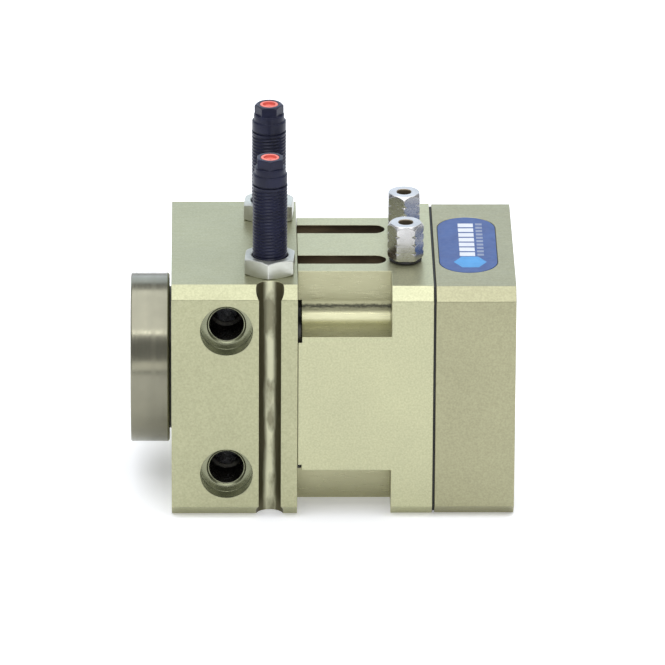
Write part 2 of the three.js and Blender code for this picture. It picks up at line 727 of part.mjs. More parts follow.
function ballRing({ start, width, pitch, ball, balls }) {
  const middle = start + width / 2;
  const cage = ringX(pitch - ball / 4, pitch + ball / 4, [middle - ball * 1.1, middle + ball * 1.1]);
  const spheres = Array.from({ length: balls }, (_, i) => {
    const angle = (2 * Math.PI * i) / balls;
    const ballShape = new THREE.IcosahedronGeometry(ball, 0);
    return solid(ballShape.translate(middle, pitch * Math.cos(angle), pitch * Math.sin(angle)));
  });
  return join(cage, ...spheres);
}

function bearing(name, size) {
  const land = (size.outside - size.bore) * 0.3;
  part(name + "_outer", bearingRing(size, size.outside - SLIP, size.outside - land), "steel", swivelGroup);
  part(name + "_inner", bearingRing(size, size.bore, size.bore + land), "steel", swivelGroup);
  part(name + "_balls", ballRing(size), "brass", swivelGroup);
}

const SLEEVE_SPAN = [
  BEARING_FRONT.start + BEARING_FRONT.width + 2 * SLIP,
  RACK.station - GEAR.width / 2 - SLIP,
];

part("swivel_housing", swivelHousing(), "anodised", swivelGroup);
part("spindle", spindle(), "steel", swivelGroup);
part("pinion_gear", pinionGear(), "steel", swivelGroup);
part("spacer_sleeve", ringX(SPINDLE.seatRadius + SLIP, 13.4, SLEEVE_SPAN), "steel", swivelGroup);
bearing("front_bearing", BEARING_FRONT);
bearing("rear_bearing", BEARING_REAR);

// ---------------------------------------------------------------- racks

const RACK_TRAVEL = (SWIVEL_ANGLE * GEAR.module * GEAR.teeth) / 2;
const RACK_PITCH = Math.PI * GEAR.module;
const SEAL_BAND = { from: 1.4, to: 3.4, radius: 5.4 };
const ROD_POCKET = { radius: 2.6, depth: 5.6 };

// The gap between two rack teeth, as [y, z] with y pointing from the rack's axis to the pinion.
function rackGap(height) {
  const { tipPlane, rootPlane } = RACK_TEETH;
  const pitchPlane = RACK.offset - (GEAR.module * GEAR.teeth) / 2;
  const halfAt = (plane) => {
    const wider = (plane - pitchPlane) * Math.tan(PRESSURE_ANGLE);
    return (RACK_PITCH + GEAR.backlash) / 4 + wider;
  };
  const outside = tipPlane + 0.5;
  return [
    [rootPlane, height - halfAt(rootPlane)],
    [outside, height - halfAt(outside)],
    [outside, height + halfAt(outside)],
    [rootPlane, height + halfAt(rootPlane)],
  ];
}

// A rack on one side, with its underside at a height from the main axis at rest. Each gap that faces the
// pinion's centre line is a whole number of pitches from the main axis.
function rackPiston(side, underside) {
  const top = underside + RACK.length;
  const teethFrom = underside + RACK.headLength;
  const y = side * RACK.offset;
  const towards = (distance) => y - side * distance;
  const lowest = Math.ceil((teethFrom + 0.5 * RACK_PITCH) / RACK_PITCH - 0.2);
  const highest = Math.floor(top / RACK_PITCH + 0.35);
  const gaps = [];
  for (let index = lowest; index <= highest; index += 1) {
    const outline = rackGap(index * RACK_PITCH).map(([distance, z]) => [towards(distance), z]);
    gaps.push(prismX(shapeOf(outline), [RACK.station - 8, RACK.station + 8]));
  }
  const planed = [towards(RACK_TEETH.tipPlane), towards(RACK.radius + 1)].sort((a, b) => a - b);
  const band = [underside + SEAL_BAND.from, underside + SEAL_BAND.to];
  return cut(
    rodZ(RACK.radius, [underside, top], RACK.station, y),
    block([RACK.station - 8, RACK.station + 8], planed, [teethFrom, top + 1]),
    ringZ(SEAL_BAND.radius, RACK.radius + 1, band, RACK.station, y),
    rodZ(ROD_POCKET.radius, [top - ROD_POCKET.depth, top + 1], RACK.station, side * DAMPER_OFFSET),
    ...gaps,
  );
}

function rackSeal(side, underside) {
  const band = [underside + SEAL_BAND.from + SLIP, underside + SEAL_BAND.to - SLIP];
  return ringZ(SEAL_BAND.radius + SLIP, RACK.boreRadius - 0.05, band, RACK.station, side * RACK.offset);
}

function borePlug(side) {
  const y = side * RACK.offset;
  const span = [BOTTOM + 0.2, BOTTOM + PLUG.thickness];
  return cut(
    rodZ(PLUG.radius, span, RACK.station, y),
    rodZ(PLUG.portRadius, [span[0] - 1, span[1] + 1], RACK.station, y),
  );
}

// ---------------------------------------------------------------- shock absorbers

function damperBody(side) {
  const [x, y] = [RACK.station, side * DAMPER_OFFSET];
  const face = HOUSING.top;
  const body = turnedZ(
    [
      [RACK_BORE_TOP + 0.2, 0],
      [RACK_BORE_TOP + 0.2, DAMPER.thread],
      [face + DAMPER.threadTop, DAMPER.thread],
      [face + DAMPER.threadTop, DAMPER.collar],
      [face + DAMPER.collarTop, DAMPER.collar],
      [face + DAMPER.collarTop, DAMPER.neck],
      [face + DAMPER.neckTop, DAMPER.neck],
      [face + DAMPER.neckTop, 0],
    ],
    x,
    y,
  );
  const hexSpan = [face + DAMPER.neckTop - 0.5, face + DAMPER_HEX.top];
  const rodRoom = DAMPER_ROD.length - DAMPER_ROD.reach + DAMPER_ROD.travel + 1;
  const plugPocket = [face + DAMPER_HEX.top - DAMPER_PLUG.thickness - SLIP, face + DAMPER_HEX.top + 1];
  return cut(
    join(body, hexBar(DAMPER_HEX.acrossFlats, hexSpan, x, y, Math.PI / 2, DAMPER.neck)),
    rodZ(DAMPER_ROD.radius + SLIP, [RACK_BORE_TOP - 1, RACK_BORE_TOP + rodRoom], x, y),
    rodZ(DAMPER_PLUG.radius + SLIP, plugPocket, x, y),
  );
}

function damperNut(side) {
  const [x, y] = [RACK.station, side * DAMPER_OFFSET];
  const span = [HOUSING.top, HOUSING.top + DAMPER_NUT.height];
  const hole = rodZ(DAMPER.thread + SLIP, [span[0] - 1, span[1] + 1], x, y);
  return cut(hexBar(DAMPER_NUT.acrossFlats, span, x, y, Math.PI / 2, DAMPER_NUT.turned), hole);
}

function damperPlug(side) {
  const top = HOUSING.top + DAMPER_HEX.top;
  const span = [top - DAMPER_PLUG.thickness, top];
  return ringZ(DAMPER_PLUG.hole, DAMPER_PLUG.radius, span, RACK.station, side * DAMPER_OFFSET);
}

function damperRod(side) {
  const tip = RACK_BORE_TOP - DAMPER_ROD.reach;
  return rodZ(DAMPER_ROD.radius, [tip, tip + DAMPER_ROD.length], RACK.station, side * DAMPER_OFFSET);
}

// At rest the front rack is at the top of its travel and the rear rack at the bottom.
[
  ["front", -1, RACK_LOWEST + RACK_TRAVEL],
  ["rear", 1, RACK_LOWEST],
].forEach(([place, side, underside]) => {
  part("rack_piston_" + place, rackPiston(side, underside), "steel", swivelGroup);
  part("rack_seal_" + place, rackSeal(side, underside), "rubber", swivelGroup);
  part("bore_plug_" + place, borePlug(side), "brass", swivelGroup);
  part("damper_body_" + place, damperBody(side), "blackOxide", swivelGroup);
  part("damper_nut_" + place, damperNut(side), "steel", swivelGroup);
  part("damper_plug_" + place, damperPlug(side), "redPlastic", swivelGroup);
  part("damper_rod_" + place, damperRod(side), "steel", swivelGroup);
});

// ---------------------------------------------------------------- gripper cylinder

const PISTON_END = PISTON.start + PISTON.length;
const PISTON_SEAL = { from: 3, to: 5.6, radius: 13.4 };
const PISTON_MAGNET = { from: 7.4, to: 9.8, radius: 13.4 };

function gripPiston() {
  const grooves = [PISTON_SEAL, PISTON_MAGNET].map(({ from, to, radius }) =>
    ringX(radius, PISTON.radius + 1, [PISTON.start + from, PISTON.start + to]),
  );
  return cut(
    rodX(PISTON.radius, [PISTON.start, PISTON_END]),
    rodX(ROD.spigot + SLIP, [PISTON.start - 1, PISTON_END + 1]),
    ...grooves,
  );
}

function pistonRing({ from, to, radius }, outside) {
  return ringX(radius + SLIP, outside, [PISTON.start + from + SLIP, PISTON.start + to - SLIP]);
}

const PISTON_NUT_LENGTH = 3;

// The rod, from the button in the wedge to the piston nut.
function gripRod() {
  const headToCylinder = HEAD_X - CYLINDER_X;
  const button = headToCylinder + BUTTON_DEPTH;
  const neckEnd = headToCylinder + WEDGE.near + WEDGE.length + 0.5;
  return turnedX([
    [button, 0],
    [button, ROD.button],
    [button + BUTTON_LENGTH, ROD.button],
    [button + BUTTON_LENGTH, ROD.neck],
    [neckEnd, ROD.neck],
    [neckEnd, ROD.radius],
    [PISTON.start - SLIP, ROD.radius],
    [PISTON.start - SLIP, ROD.spigot],
    [PISTON_END + PISTON_NUT_LENGTH + 0.5, ROD.spigot],
    [PISTON_END + PISTON_NUT_LENGTH + 0.5, 0],
  ]);
}

function pistonNut() {
  const span = [PISTON_END + SLIP, PISTON_END + PISTON_NUT_LENGTH];
  return cut(hexPrismX(5.5, span, 0, 0), rodX(ROD.spigot + SLIP, [span[0] - 1, span[1] + 1]));
}

// Centre line of the return spring, round the piston rod.
class SpringLine extends THREE.Curve {
  constructor(radius, [start, end], turns) {
    super();
    Object.assign(this, { radius, start, end, turns });
  }

  getPoint(t, target = new THREE.Vector3()) {
    const angle = 2 * Math.PI * this.turns * t;
    const along = THREE.MathUtils.lerp(this.start, this.end, t);
    return target.set(along, this.radius * Math.cos(angle), this.radius * Math.sin(angle));
  }
}

const SPRING = { radius: 10.5, wire: 0.7, turns: 4, stepsPerTurn: 12 };

function gripSpring() {
  const { radius, wire, turns, stepsPerTurn } = SPRING;
  const room = wire + 0.2;
  const path = new SpringLine(radius, [PISTON_BORE.start + room, PISTON.start - room], turns);
  const section = shapeOf(arc(0, 0, wire, 0, 300, 5));
  const steps = turns * stepsPerTurn;
  return solid(new THREE.ExtrudeGeometry(section, { steps, bevelEnabled: false, extrudePath: path }));
}

function fittingBody(side) {
  const [x, y] = [FITTING.station, side * FITTING.offset];
  const seat = CYLINDER.top + FITTING_SEAL.thickness;
  const top = seat + FITTING.height;
  const hex = hexBar(FITTING.acrossFlats, [seat, top], x, y, side > 0 ? Math.PI / 2 : 0);
  return cut(
    join(hex, rodZ(PORT.stem, [CYLINDER.top - PORT.depth + 1, seat + 1], x, y)),
    rodZ(FITTING.hole, [top - 6, top + 1], x, y),
    rodZ(1.25, [CYLINDER.top - PORT.depth, top], x, y),
  );
}

function fittingSeal(side) {
  const span = [CYLINDER.top, CYLINDER.top + FITTING_SEAL.thickness];
  return ringZ(PORT.stem + SLIP, FITTING_SEAL.radius, span, FITTING.station, side * FITTING.offset);
}

part("cylinder_body", cylinderBody(), "anodised", cylinderGroup);
part("grip_piston", gripPiston(), "anodised", cylinderGroup);
part("piston_seal", pistonRing(PISTON_SEAL, PISTON_BORE.radius - SLIP), "rubber", cylinderGroup);
part("piston_magnet", pistonRing(PISTON_MAGNET, PISTON.radius - SLIP), "magnet", cylinderGroup);
part("piston_nut", pistonNut(), "steel", cylinderGroup);
part("grip_rod", gripRod(), "steel", cylinderGroup);
part("rod_bush", ringX(ROD.radius + SLIP, 7.3, [0.7, 3.8]), "brass", cylinderGroup);
part("rod_seal", ringX(ROD.radius + SLIP, 7.3, [3.9, 5.8]), "rubber", cylinderGroup);
part("grip_spring", gripSpring(), "steel", cylinderGroup);
[
  ["front", -1],
  ["rear", 1],
].forEach(([place, side]) => {
  part("fitting_body_" + place, fittingBody(side), "nickel", cylinderGroup);
  part("fitting_seal_" + place, fittingSeal(side), "rubber", cylinderGroup);
});

// ---------------------------------------------------------------- end cover and its fasteners

part("cover_gasket", coverGasket(), "rubber", coverGroup);
part("end_cover", endCover(), "coverAnodised", coverGroup);

const labelShape = stadium(LABEL.length - 0.3, LABEL.width - 0.3, LABEL_X);
const labelPlate = prismZ(labelShape, [COVER.top - LABEL.thickness, COVER.top - 0.02]);
part("label_plate", labelPlate, "label", coverGroup);

eachCorner((sideY, sideZ) => [[sideY, sideZ]]).forEach(([sideY, sideZ], i) => {
  const coverReach = COVER.length - COVER_SCREW.headHeight + GASKET.length + BLOCK_GAP + COVER_SCREW.grip;
  const coverScrew = capScrewX(
    COVER_SCREW,
    coverReach - 0.4,
    COVER.length - 0.3,
    sideY * COVER_SCREW.offset,
    sideZ * COVER_SCREW.offset,
  );
  const housingReach = CYLINDER.length - HOUSING_SCREW.headHeight + BLOCK_GAP + HOUSING_SCREW.grip;
  const housingScrew = capScrewX(
    HOUSING_SCREW,
    housingReach - 0.4,
    CYLINDER.length - 0.1,
    sideY * HOUSING_SCREW.y,
    sideZ * HOUSING_SCREW.z,
  );
  part("cover_screw_" + (i + 1), coverScrew, "blackOxide", coverGroup);
  part("housing_screw_" + (i + 1), housingScrew, "blackOxide", cylinderGroup);
});

export default root;
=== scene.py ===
import json
import math

import bmesh
import bpy
from mathutils import Matrix, Vector


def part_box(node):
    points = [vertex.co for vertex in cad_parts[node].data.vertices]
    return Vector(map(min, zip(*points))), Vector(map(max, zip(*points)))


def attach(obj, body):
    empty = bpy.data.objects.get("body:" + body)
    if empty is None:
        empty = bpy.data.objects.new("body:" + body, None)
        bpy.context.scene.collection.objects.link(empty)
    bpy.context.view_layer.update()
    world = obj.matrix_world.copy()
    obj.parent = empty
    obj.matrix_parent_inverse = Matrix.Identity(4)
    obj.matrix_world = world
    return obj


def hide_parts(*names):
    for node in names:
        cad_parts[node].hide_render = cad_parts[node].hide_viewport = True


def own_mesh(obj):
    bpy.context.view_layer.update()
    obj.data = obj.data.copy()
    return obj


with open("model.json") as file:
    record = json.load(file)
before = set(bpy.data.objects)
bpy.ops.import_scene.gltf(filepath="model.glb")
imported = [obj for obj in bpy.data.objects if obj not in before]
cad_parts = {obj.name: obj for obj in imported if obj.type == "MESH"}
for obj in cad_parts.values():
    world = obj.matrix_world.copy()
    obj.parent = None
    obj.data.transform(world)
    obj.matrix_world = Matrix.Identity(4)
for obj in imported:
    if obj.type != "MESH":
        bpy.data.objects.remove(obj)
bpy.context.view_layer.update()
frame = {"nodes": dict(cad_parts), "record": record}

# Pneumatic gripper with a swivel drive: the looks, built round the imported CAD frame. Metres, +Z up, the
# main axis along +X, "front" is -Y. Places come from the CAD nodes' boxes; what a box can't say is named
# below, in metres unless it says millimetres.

MM = 0.001
RECORD = frame["record"]
BODY_OF = {node: body for body, nodes in RECORD["behaviour"]["bodies"].items() for node in nodes}
SLOT_OF = {row["node"]: row["material_slot"] for row in RECORD["subparts"]}
OPENINGS = {row["name"]: row["box_m"] for row in RECORD["physics"]["openings"]}

# ---------------------------------------------------------------- sizes that the boxes don't give

CHAMFER = 3.5 * MM  # long edges of the three blocks
EDGE = 0.14 * MM  # broken edges of machined pieces
FIT = 0.1 * MM  # clearance round fitted pieces
CUT_OVER = 1.5 * MM  # how far a cutter runs past a face

GROOVE_RADIUS = 3.9 * MM
GROOVE_AXIS_DEPTH = 2.37 * MM
MOUNT = {
    "counterbore": 7.5 * MM,
    "ledge": 4.6 * MM,
    "lead": 0.6 * MM,
    "thread": 5.15 * MM,
    "thread_depth": 0.3 * MM,
    "pitch": 1.25 * MM,
    "thread_end": 16.7 * MM,
    "through": 4 * MM,
}
RECESS = {"length": 26.7 * MM, "flat": 20.6 * MM, "fillet": 5.5 * MM}
RELIEF = {"radius": 8.3 * MM, "y": 28.6 * MM, "z": 24 * MM, "depth": 1.1 * MM}
TOP_SLOT = {"offset": 11.7 * MM, "end": 22.2 * MM}
PISTON_BORE = {"radius": 16 * MM, "start": 6 * MM, "rod": 5 * MM, "bush": 7.4 * MM, "bush_start": 0.6 * MM}
COVER_SPIGOT = {"clearance": 0.3 * MM, "into": 1 * MM, "hollow": 9 * MM, "hollow_depth": 8 * MM}
PORT_RADIUS = 2.5 * MM
TIP_ROOM = 0.5 * MM  # left free past a screw's tip

# Socket-head screws by the stem of their CAD names, in millimetres: the radii of shank, hole and head seat,
# and the lengths of head, seat and thread.
SCREWS = {
    "cover_screw": {
        "piece": "cover_cap_screw", "count": 4, "head_at_high": True,
        "shank": 2.5, "hole": 2.6, "seat": 4.5, "head": 5, "seat_depth": 5.4, "thread": 12,
    },
    "housing_screw": {
        "piece": "housing_cap_screw", "count": 4, "head_at_high": True,
        "shank": 2, "hole": 2.1, "seat": 3.6, "head": 4, "seat_depth": 4.2, "thread": 14,
    },
    "head_plate_screw": {
        "piece": "face_plate_screw", "count": 2, "head_at_high": False,
        "shank": 1.25, "hole": 1.35, "seat": 2.5, "head": 1.4, "thread": 5,
    },
    "head_drive_screw": {
        "piece": "drive_screw", "count": 2, "head_at_high": False,
        "shank": 1.5, "hole": 1.6, "seat": 2.8, "head": 2.6, "thread": 4,
    },
}

# Shock absorber, in millimetres. The tops of collar and neck are measured down from its own top, and "neck"
# is a radius.
DAMPER = {
    "pitch": 1.0,
    "thread_depth": 0.42,
    "relief": 0.5,
    "collar_height": 2.9,
    "collar_top": 4.8,
    "collar_step": 0.1,
    "neck": 4.375,
    "neck_top": 2.8,
    "key_flats": 7.3,
    "soft": 0.25,
    "rod_room": 6.5,
}

# ---------------------------------------------------------------- places from the frame


def middle(node):
    low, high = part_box(node)
    return (low + high) / 2


def half_height(node):
    low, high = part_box(node)
    return (high.z - low.z) / 2


def half_width(node):
    low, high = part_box(node)
    return (high.x - low.x) / 2


AXIS_HEIGHT = middle("spindle").z
SIDES = (("front", -1), ("rear", 1))

# ---------------------------------------------------------------- materials


class Surface:
    """A Principled material made of noise nodes in the object's own coordinates."""

    def __init__(self, name, **constants):
        self.material = bpy.data.materials.new(name)
        self.material.use_nodes = True
        self.tree = self.material.node_tree
        self.shader = self.tree.nodes["Principled BSDF"]
        self.place = self.tree.nodes.new("ShaderNodeTexCoord").outputs["Object"]
        for socket, value in constants.items():
            self.shader.inputs[socket.replace("_", " ")].default_value = value

    def node(self, kind, inputs=None, **settings):
        made = self.tree.nodes.new("ShaderNode" + kind)
        for key, value in settings.items():
            setattr(made, key, value)
        for key, value in (inputs or {}).items():
            if isinstance(value, bpy.types.NodeSocket):
                self.tree.links.new(value, made.inputs[key])
            else:
                made.inputs[key].default_value = value
        return made.outputs[0]

    def noise(self, scale, stretch=(1, 1, 1), detail=3):
        """Noise with so many cells per metre, finer along an axis by its stretch."""
        stretched = self.node("Mapping", {"Vector": self.place, "Scale": stretch})
        return self.node("TexNoise", {"Vector": stretched, "Scale": scale, "Detail": detail})

    def range(self, value, low, high, start=0.3, end=0.7):
        """A noise value spread from low to high."""
        keys = {"Value": value, "From Min": start, "From Max": end, "To Min": low, "To Max": high}
        return self.node("MapRange", keys)

    def mix(self, factor, first, second):
        made = self.tree.nodes.new("ShaderNodeMix")
        made.data_type = "RGBA"
        for index, value in ((0, factor), (6, first), (7, second)):
            if isinstance(value, bpy.types.NodeSocket):
                self.tree.links.new(value, made.inputs[index])
            else:
                made.inputs[index].default_value = value
        return made.outputs[2]

    def drive(self, socket, value):
        self.tree.links.new(value, self.shader.inputs[socket])
        return self

    def relief(self, height, depth):
        bump = self.node("Bump", {"Height": height, "Distance": depth, "Strength": 1.0})
        return self.drive("Normal", bump)


def colour(red, green, blue):
    """A colour given as 8-bit sRGB, as a linear RGBA."""
    linear = [pow((c / 255 + 0.055) / 1.055, 2.4) for c in (red, green, blue)]
    return (*linear, 1.0)


def anodised(name, light, dark, metallic=0.85, roughness=0.36, stretch=(1, 6, 6)):
    """Hard-anodised, bead-blasted aluminium: a cloudy tone, a fine speckle and faint tool marks."""
    surface = Surface(name, Metallic=metallic, Specular_IOR_Level=0.5)
    cloud = surface.range(surface.noise(45), 0.2, 0.8)
    speckle = surface.noise(1900, detail=2)
    marks = surface.noise(260, stretch)
    toned = surface.mix(cloud, light, dark)
    spread = surface.range(speckle, 0.9, 1.1)
    shaded = surface.node("HueSaturation", {"Color": toned, "Value": spread})
    surface.drive("Base Color", shaded)
    surface.drive("Roughness", surface.range(marks, roughness - 0.05, roughness + 0.06))
    return surface.relief(speckle, 0.006 * MM).material


def smudged(name, light, dark, stretch, roughness=0.4, metallic=0.7):
    """The inside of a groove or bore: stains drawn out along the cut. Bores are given near-black colours:
    painted shade inside the holes, together with oil stains.
    """
    surface = Surface(name, Metallic=metallic)
    stain = surface.range(surface.noise(130, stretch, detail=5), 0, 1, 0.42, 0.58)
    surface.drive("Base Color", surface.mix(stain, light, dark))
    wear = surface.noise(500, stretch)
    surface.drive("Roughness", surface.range(wear, roughness - 0.1, roughness + 0.15))
    return surface.relief(surface.noise(900, stretch), 0.02 * MM).material


def groove_wall(name, light, dark):
    """A broached sensor groove: clean along its floor, with painted shade darkening both flanks and stains
    in spots.
    """
    surface = Surface(name, Metallic=0.7)
    low, high = OPENINGS["front_sensor_groove"]
    to_axis = (-(low[0] + high[0]) / 2, 0, 0)
    floor_line = surface.node("Mapping", {"Vector": surface.place, "Location": to_axis})
    across = surface.node("SeparateXYZ", {"Vector": floor_line}).node.outputs["X"]
    distance = surface.node("Math", {0: across}, operation="ABSOLUTE")
    streak = surface.noise(230, (1, 1, 0.3), detail=5)
    wandering = surface.node("Math", {0: streak, 1: 2.4 * MM, 2: distance}, operation="MULTIPLY_ADD")
    # painted shade: the colour turns dark towards both flanks, by the distance from the groove's middle line
    painted_flank_shade = surface.range(wandering, 0, 1, 1.9 * MM, 3.1 * MM)
    spots = surface.range(surface.noise(150, (1, 1, 0.45), detail=5), 0, 0.75, 0.5, 0.62)
    # colour mask: the painted shade on the flanks joined with the stains
    stain = surface.node("Math", {0: painted_flank_shade, 1: spots}, operation="MAXIMUM")
    surface.drive("Base Color", surface.mix(stain, light, dark))
    surface.drive("Roughness", surface.range(streak, 0.28, 0.5))
    return surface.relief(surface.noise(900, (1, 1, 0.1)), 0.02 * MM).material


def milled_corner(name, light, dark):
    """A milled recess: brushed along X, with a ragged line where its two cuts meet."""
    surface = Surface(name, Metallic=0.85)
    centred = surface.node("Mapping", {"Vector": surface.place, "Location": (0, 0, -AXIS_HEIGHT)})
    height = surface.node("SeparateXYZ", {"Vector": centred}).node.outputs["Z"]
    level = surface.node("Math", {0: height}, operation="ABSOLUTE")
    rag = surface.noise(1300, (0.6, 1, 1), detail=4)
    rag_height = 1.3 * MM
    ragged = surface.node("Math", {0: rag, 1: rag_height, 2: level}, operation="MULTIPLY_ADD")
    seam = RECESS["flat"] + 0.7 * RECESS["fillet"] + rag_height / 2
    off_seam = surface.node("Math", {0: ragged, 1: seam}, operation="SUBTRACT")
    distance = surface.node("Math", {0: off_seam}, operation="ABSOLUTE")
    line = surface.range(distance, 1, 0, 0.15 * MM, 0.75 * MM)
    brushed = surface.noise(260, (1, 12, 12))
    cloud = surface.range(surface.noise(70, (0.5, 1, 1)), 0.2, 0.8)
    toned = surface.mix(cloud, light, dark)
    surface.drive("Base Color", surface.mix(line, toned, colour(78, 78, 64)))
    surface.drive("Roughness", surface.range(brushed, 0.25, 0.38))
    return surface.relief(brushed, 0.012 * MM).material


def turned_metal(name, light, dark, roughness=0.3, metallic=0.9):
    """Metal turned about the main axis: fine rings by radius and by length, and a slow drift of tone."""
    surface = Surface(name, Metallic=metallic)
    centred = surface.node("Mapping", {"Vector": surface.place, "Location": (0, 0, -AXIS_HEIGHT)})
    parts = surface.node("SeparateXYZ", {"Vector": centred}).node.outputs
    across = surface.node("CombineXYZ", {"X": parts["Y"], "Y": parts["Z"]})
    radius = surface.node("VectorMath", {0: across}, operation="LENGTH").node.outputs["Value"]
    ring_place = surface.node("CombineXYZ", {"X": parts["X"], "Y": radius})
    rings = surface.node("TexNoise", {"Vector": ring_place, "Scale": 1500, "Detail": 3})
    bands = surface.node("TexNoise", {"Vector": ring_place, "Scale": 260, "Detail": 2})
    tone = surface.mix(surface.range(surface.noise(90), 0, 1), light, dark)
    shaded = surface.node("HueSaturation", {"Color": tone, "Value": surface.range(bands, 0.95, 1.05)})
    surface.drive("Base Color", shaded)
    surface.drive("Roughness", surface.range(rings, roughness - 0.05, roughness + 0.05))
    return surface.relief(rings, 0.004 * MM).material


def plain_metal(name, light, dark, roughness, metallic=1.0, grain=700, depth=0.004 * MM):
    """Ground or plated metal with slight handling stains."""
    surface = Surface(name, Metallic=metallic)
    stain = surface.range(surface.noise(160), 0, 1)
    fine = surface.noise(grain, (1, 1, 3))
    surface.drive("Base Color", surface.mix(stain, light, dark))
    surface.drive("Roughness", surface.range(fine, roughness * 0.8, roughness * 1.2))
    return surface.relief(fine, depth).material


def soft_solid(name, light, dark, roughness, grain=1500, depth=0.01 * MM, **constants):
    """Rubber, plastic or film: no metal, a fine grain and a slight mottle."""
    surface = Surface(name, **constants)
    mottle = surface.range(surface.noise(200), 0, 1)
    fine = surface.noise(grain)
    surface.drive("Base Color", surface.mix(mottle, light, dark))
    surface.drive("Roughness", surface.range(fine, roughness * 0.85, roughness * 1.15))
    return surface.relief(fine, depth).material


MATERIALS = {
    "anodised_body": anodised("anodised_body", colour(186, 186, 150), colour(177, 177, 144)),
    "anodised_housing": anodised("anodised_housing", colour(173, 173, 139), colour(164, 164, 132)),
    "anodised_cover": anodised("anodised_cover", colour(163, 161, 129), colour(155, 153, 123)),
    "recess_face": milled_corner("recess_face", colour(186, 184, 150), colour(164, 162, 130)),
    "groove_upright": groove_wall("groove_upright", colour(206, 206, 174), colour(98, 94, 70)),
    # a darker tone than the housing face: painted shade inside the counterbore
    "counterbore": plain_metal("counterbore", colour(146, 148, 122), colour(130, 132, 108), 0.22,
                               metallic=0.9, grain=900, depth=0.001 * MM),
    "groove_long": smudged("groove_long", colour(142, 130, 110), colour(100, 90, 76), (0.3, 1, 1)),
    # near-black: painted shade inside holes, pockets and hollows, with oil stains drawn along the cut
    "bore": smudged("bore", colour(70, 68, 62), colour(20, 20, 18), (1, 0.5, 1), roughness=0.22),
    "head_metal": turned_metal("head_metal", colour(136, 134, 116), colour(123, 121, 105), roughness=0.2),
    "steel": plain_metal("steel", colour(176, 176, 174), colour(156, 156, 152), 0.3),
    # steel painted darker: painted shade for the narrow gap between head disc and housing, where the spindle
    # shows
    "gap_shade_steel": plain_metal("gap_shade_steel", colour(84, 83, 78), colour(66, 65, 60), 0.4),
    "nut_steel": plain_metal("nut_steel", colour(212, 214, 204), colour(192, 193, 183), 0.36, metallic=0.9),
    "nickel": plain_metal("nickel", colour(208, 207, 205), colour(188, 187, 185), 0.26,
                          grain=260, depth=0.0005 * MM),
    "black_oxide": soft_solid("black_oxide", colour(16, 20, 50), colour(10, 13, 36), 0.36,
                              Metallic=0.1, Specular_IOR_Level=0.35),
    "brass": plain_metal("brass", colour(190, 160, 90), colour(164, 134, 70), 0.32),
    "rubber": soft_solid("rubber", colour(34, 34, 34), colour(22, 22, 23), 0.6),
    "magnet": soft_solid("magnet", colour(80, 77, 72), colour(60, 58, 54), 0.6),
    "red_plastic": soft_solid("red_plastic", colour(238, 134, 118), colour(224, 108, 96), 0.5),
    "label_film": soft_solid("label_film", colour(46, 80, 140), colour(38, 68, 126), 0.36,
                             grain=700, depth=0.001 * MM, Specular_IOR_Level=0.35),
    "print_white": soft_solid("print_white", colour(214, 218, 222), colour(204, 208, 214), 0.45),
    "print_grey": soft_solid("print_grey", colour(140, 150, 172), colour(120, 130, 156), 0.45),
    "print_blue": soft_solid("print_blue", colour(58, 146, 206), colour(48, 130, 190), 0.4),
}

# ---------------------------------------------------------------- meshes


# Each maps a local (u, v, w) onto the world so that w runs along the named axis.
ALONG = {
    "X": Matrix(((0, 0, 1), (1, 0, 0), (0, 1, 0))).to_4x4(),
    "Y": Matrix(((0, 1, 0), (0, 0, 1), (1, 0, 0))).to_4x4(),
    "Z": Matrix.Identity(4),
}


def mesh_object(name, bm, material):
    bmesh.ops.remove_doubles(bm, verts=bm.verts, dist=1e-7)
    bmesh.ops.dissolve_limit(bm, angle_limit=math.radians(0.2), verts=bm.verts, edges=bm.edges)
    bmesh.ops.recalc_face_normals(bm, faces=bm.faces)
    mesh = bpy.data.meshes.new(name)
    bm.to_mesh(mesh)
    bm.free()
    mesh.materials.append(MATERIALS[material])
    obj = bpy.data.objects.new(name, mesh)
    bpy.context.scene.collection.objects.link(obj)
    return obj


def prism(outline, span, axis="Z", material="steel", at=(0, 0, 0), name="cutter"):
    """A straight bar. Its outline is (y, z) along X, (z, x) along Y and (x, y) along Z."""
    bm = bmesh.new()
    low, high = min(span), max(span)
    bottom = [bm.verts.new((u, v, low)) for u, v in outline]
    top = [bm.verts.new((u, v, high)) for u, v in outline]
    bm.faces.new(bottom)
    bm.faces.new(top)
    for i in range(len(outline)):
        j = (i + 1) % len(outline)
        bm.faces.new((bottom[i], bottom[j], top[j], top[i]))
    bm.transform(Matrix.Translation(at) @ ALONG[axis])
    return mesh_object(name, bm, material)


def wall(bm, rings, closed=False):
    """Joins rings of vertices one after the other. A ring of one vertex is a point on the axis."""
    sides = max(len(ring) for ring in rings)
    following = rings[1:] + (rings[:1] if closed else [])
    for ring, after in zip(rings, following):
        for i in range(sides):
            j = (i + 1) % sides
            corners = ((ring, i), (ring, j), (after, j), (after, i))
            distinct = list(dict.fromkeys(verts[k % len(verts)] for verts, k in corners))
            if len(distinct) > 2:
                bm.faces.new(distinct)


def ring_at(bm, z, radii):
    """A level ring of vertices, one for each radius."""
    polar = [(radius, 2 * math.pi * i / len(radii)) for i, radius in enumerate(radii)]
    return [bm.verts.new((radius * math.cos(a), radius * math.sin(a), z)) for radius, a in polar]


def lathe(profile, axis="Z", material="steel", at=(0, 0, 0), sides=72, name="cutter"):
    """A turned solid. Its closed profile is a list of (distance along the axis, radius)."""
    bm = bmesh.new()
    rings = [ring_at(bm, along, [radius] * (sides if radius > 1e-7 else 1)) for along, radius in profile]
    wall(bm, rings, closed=True)
    bm.transform(Matrix.Translation(at) @ ALONG[axis])
    return mesh_object(name, bm, material)


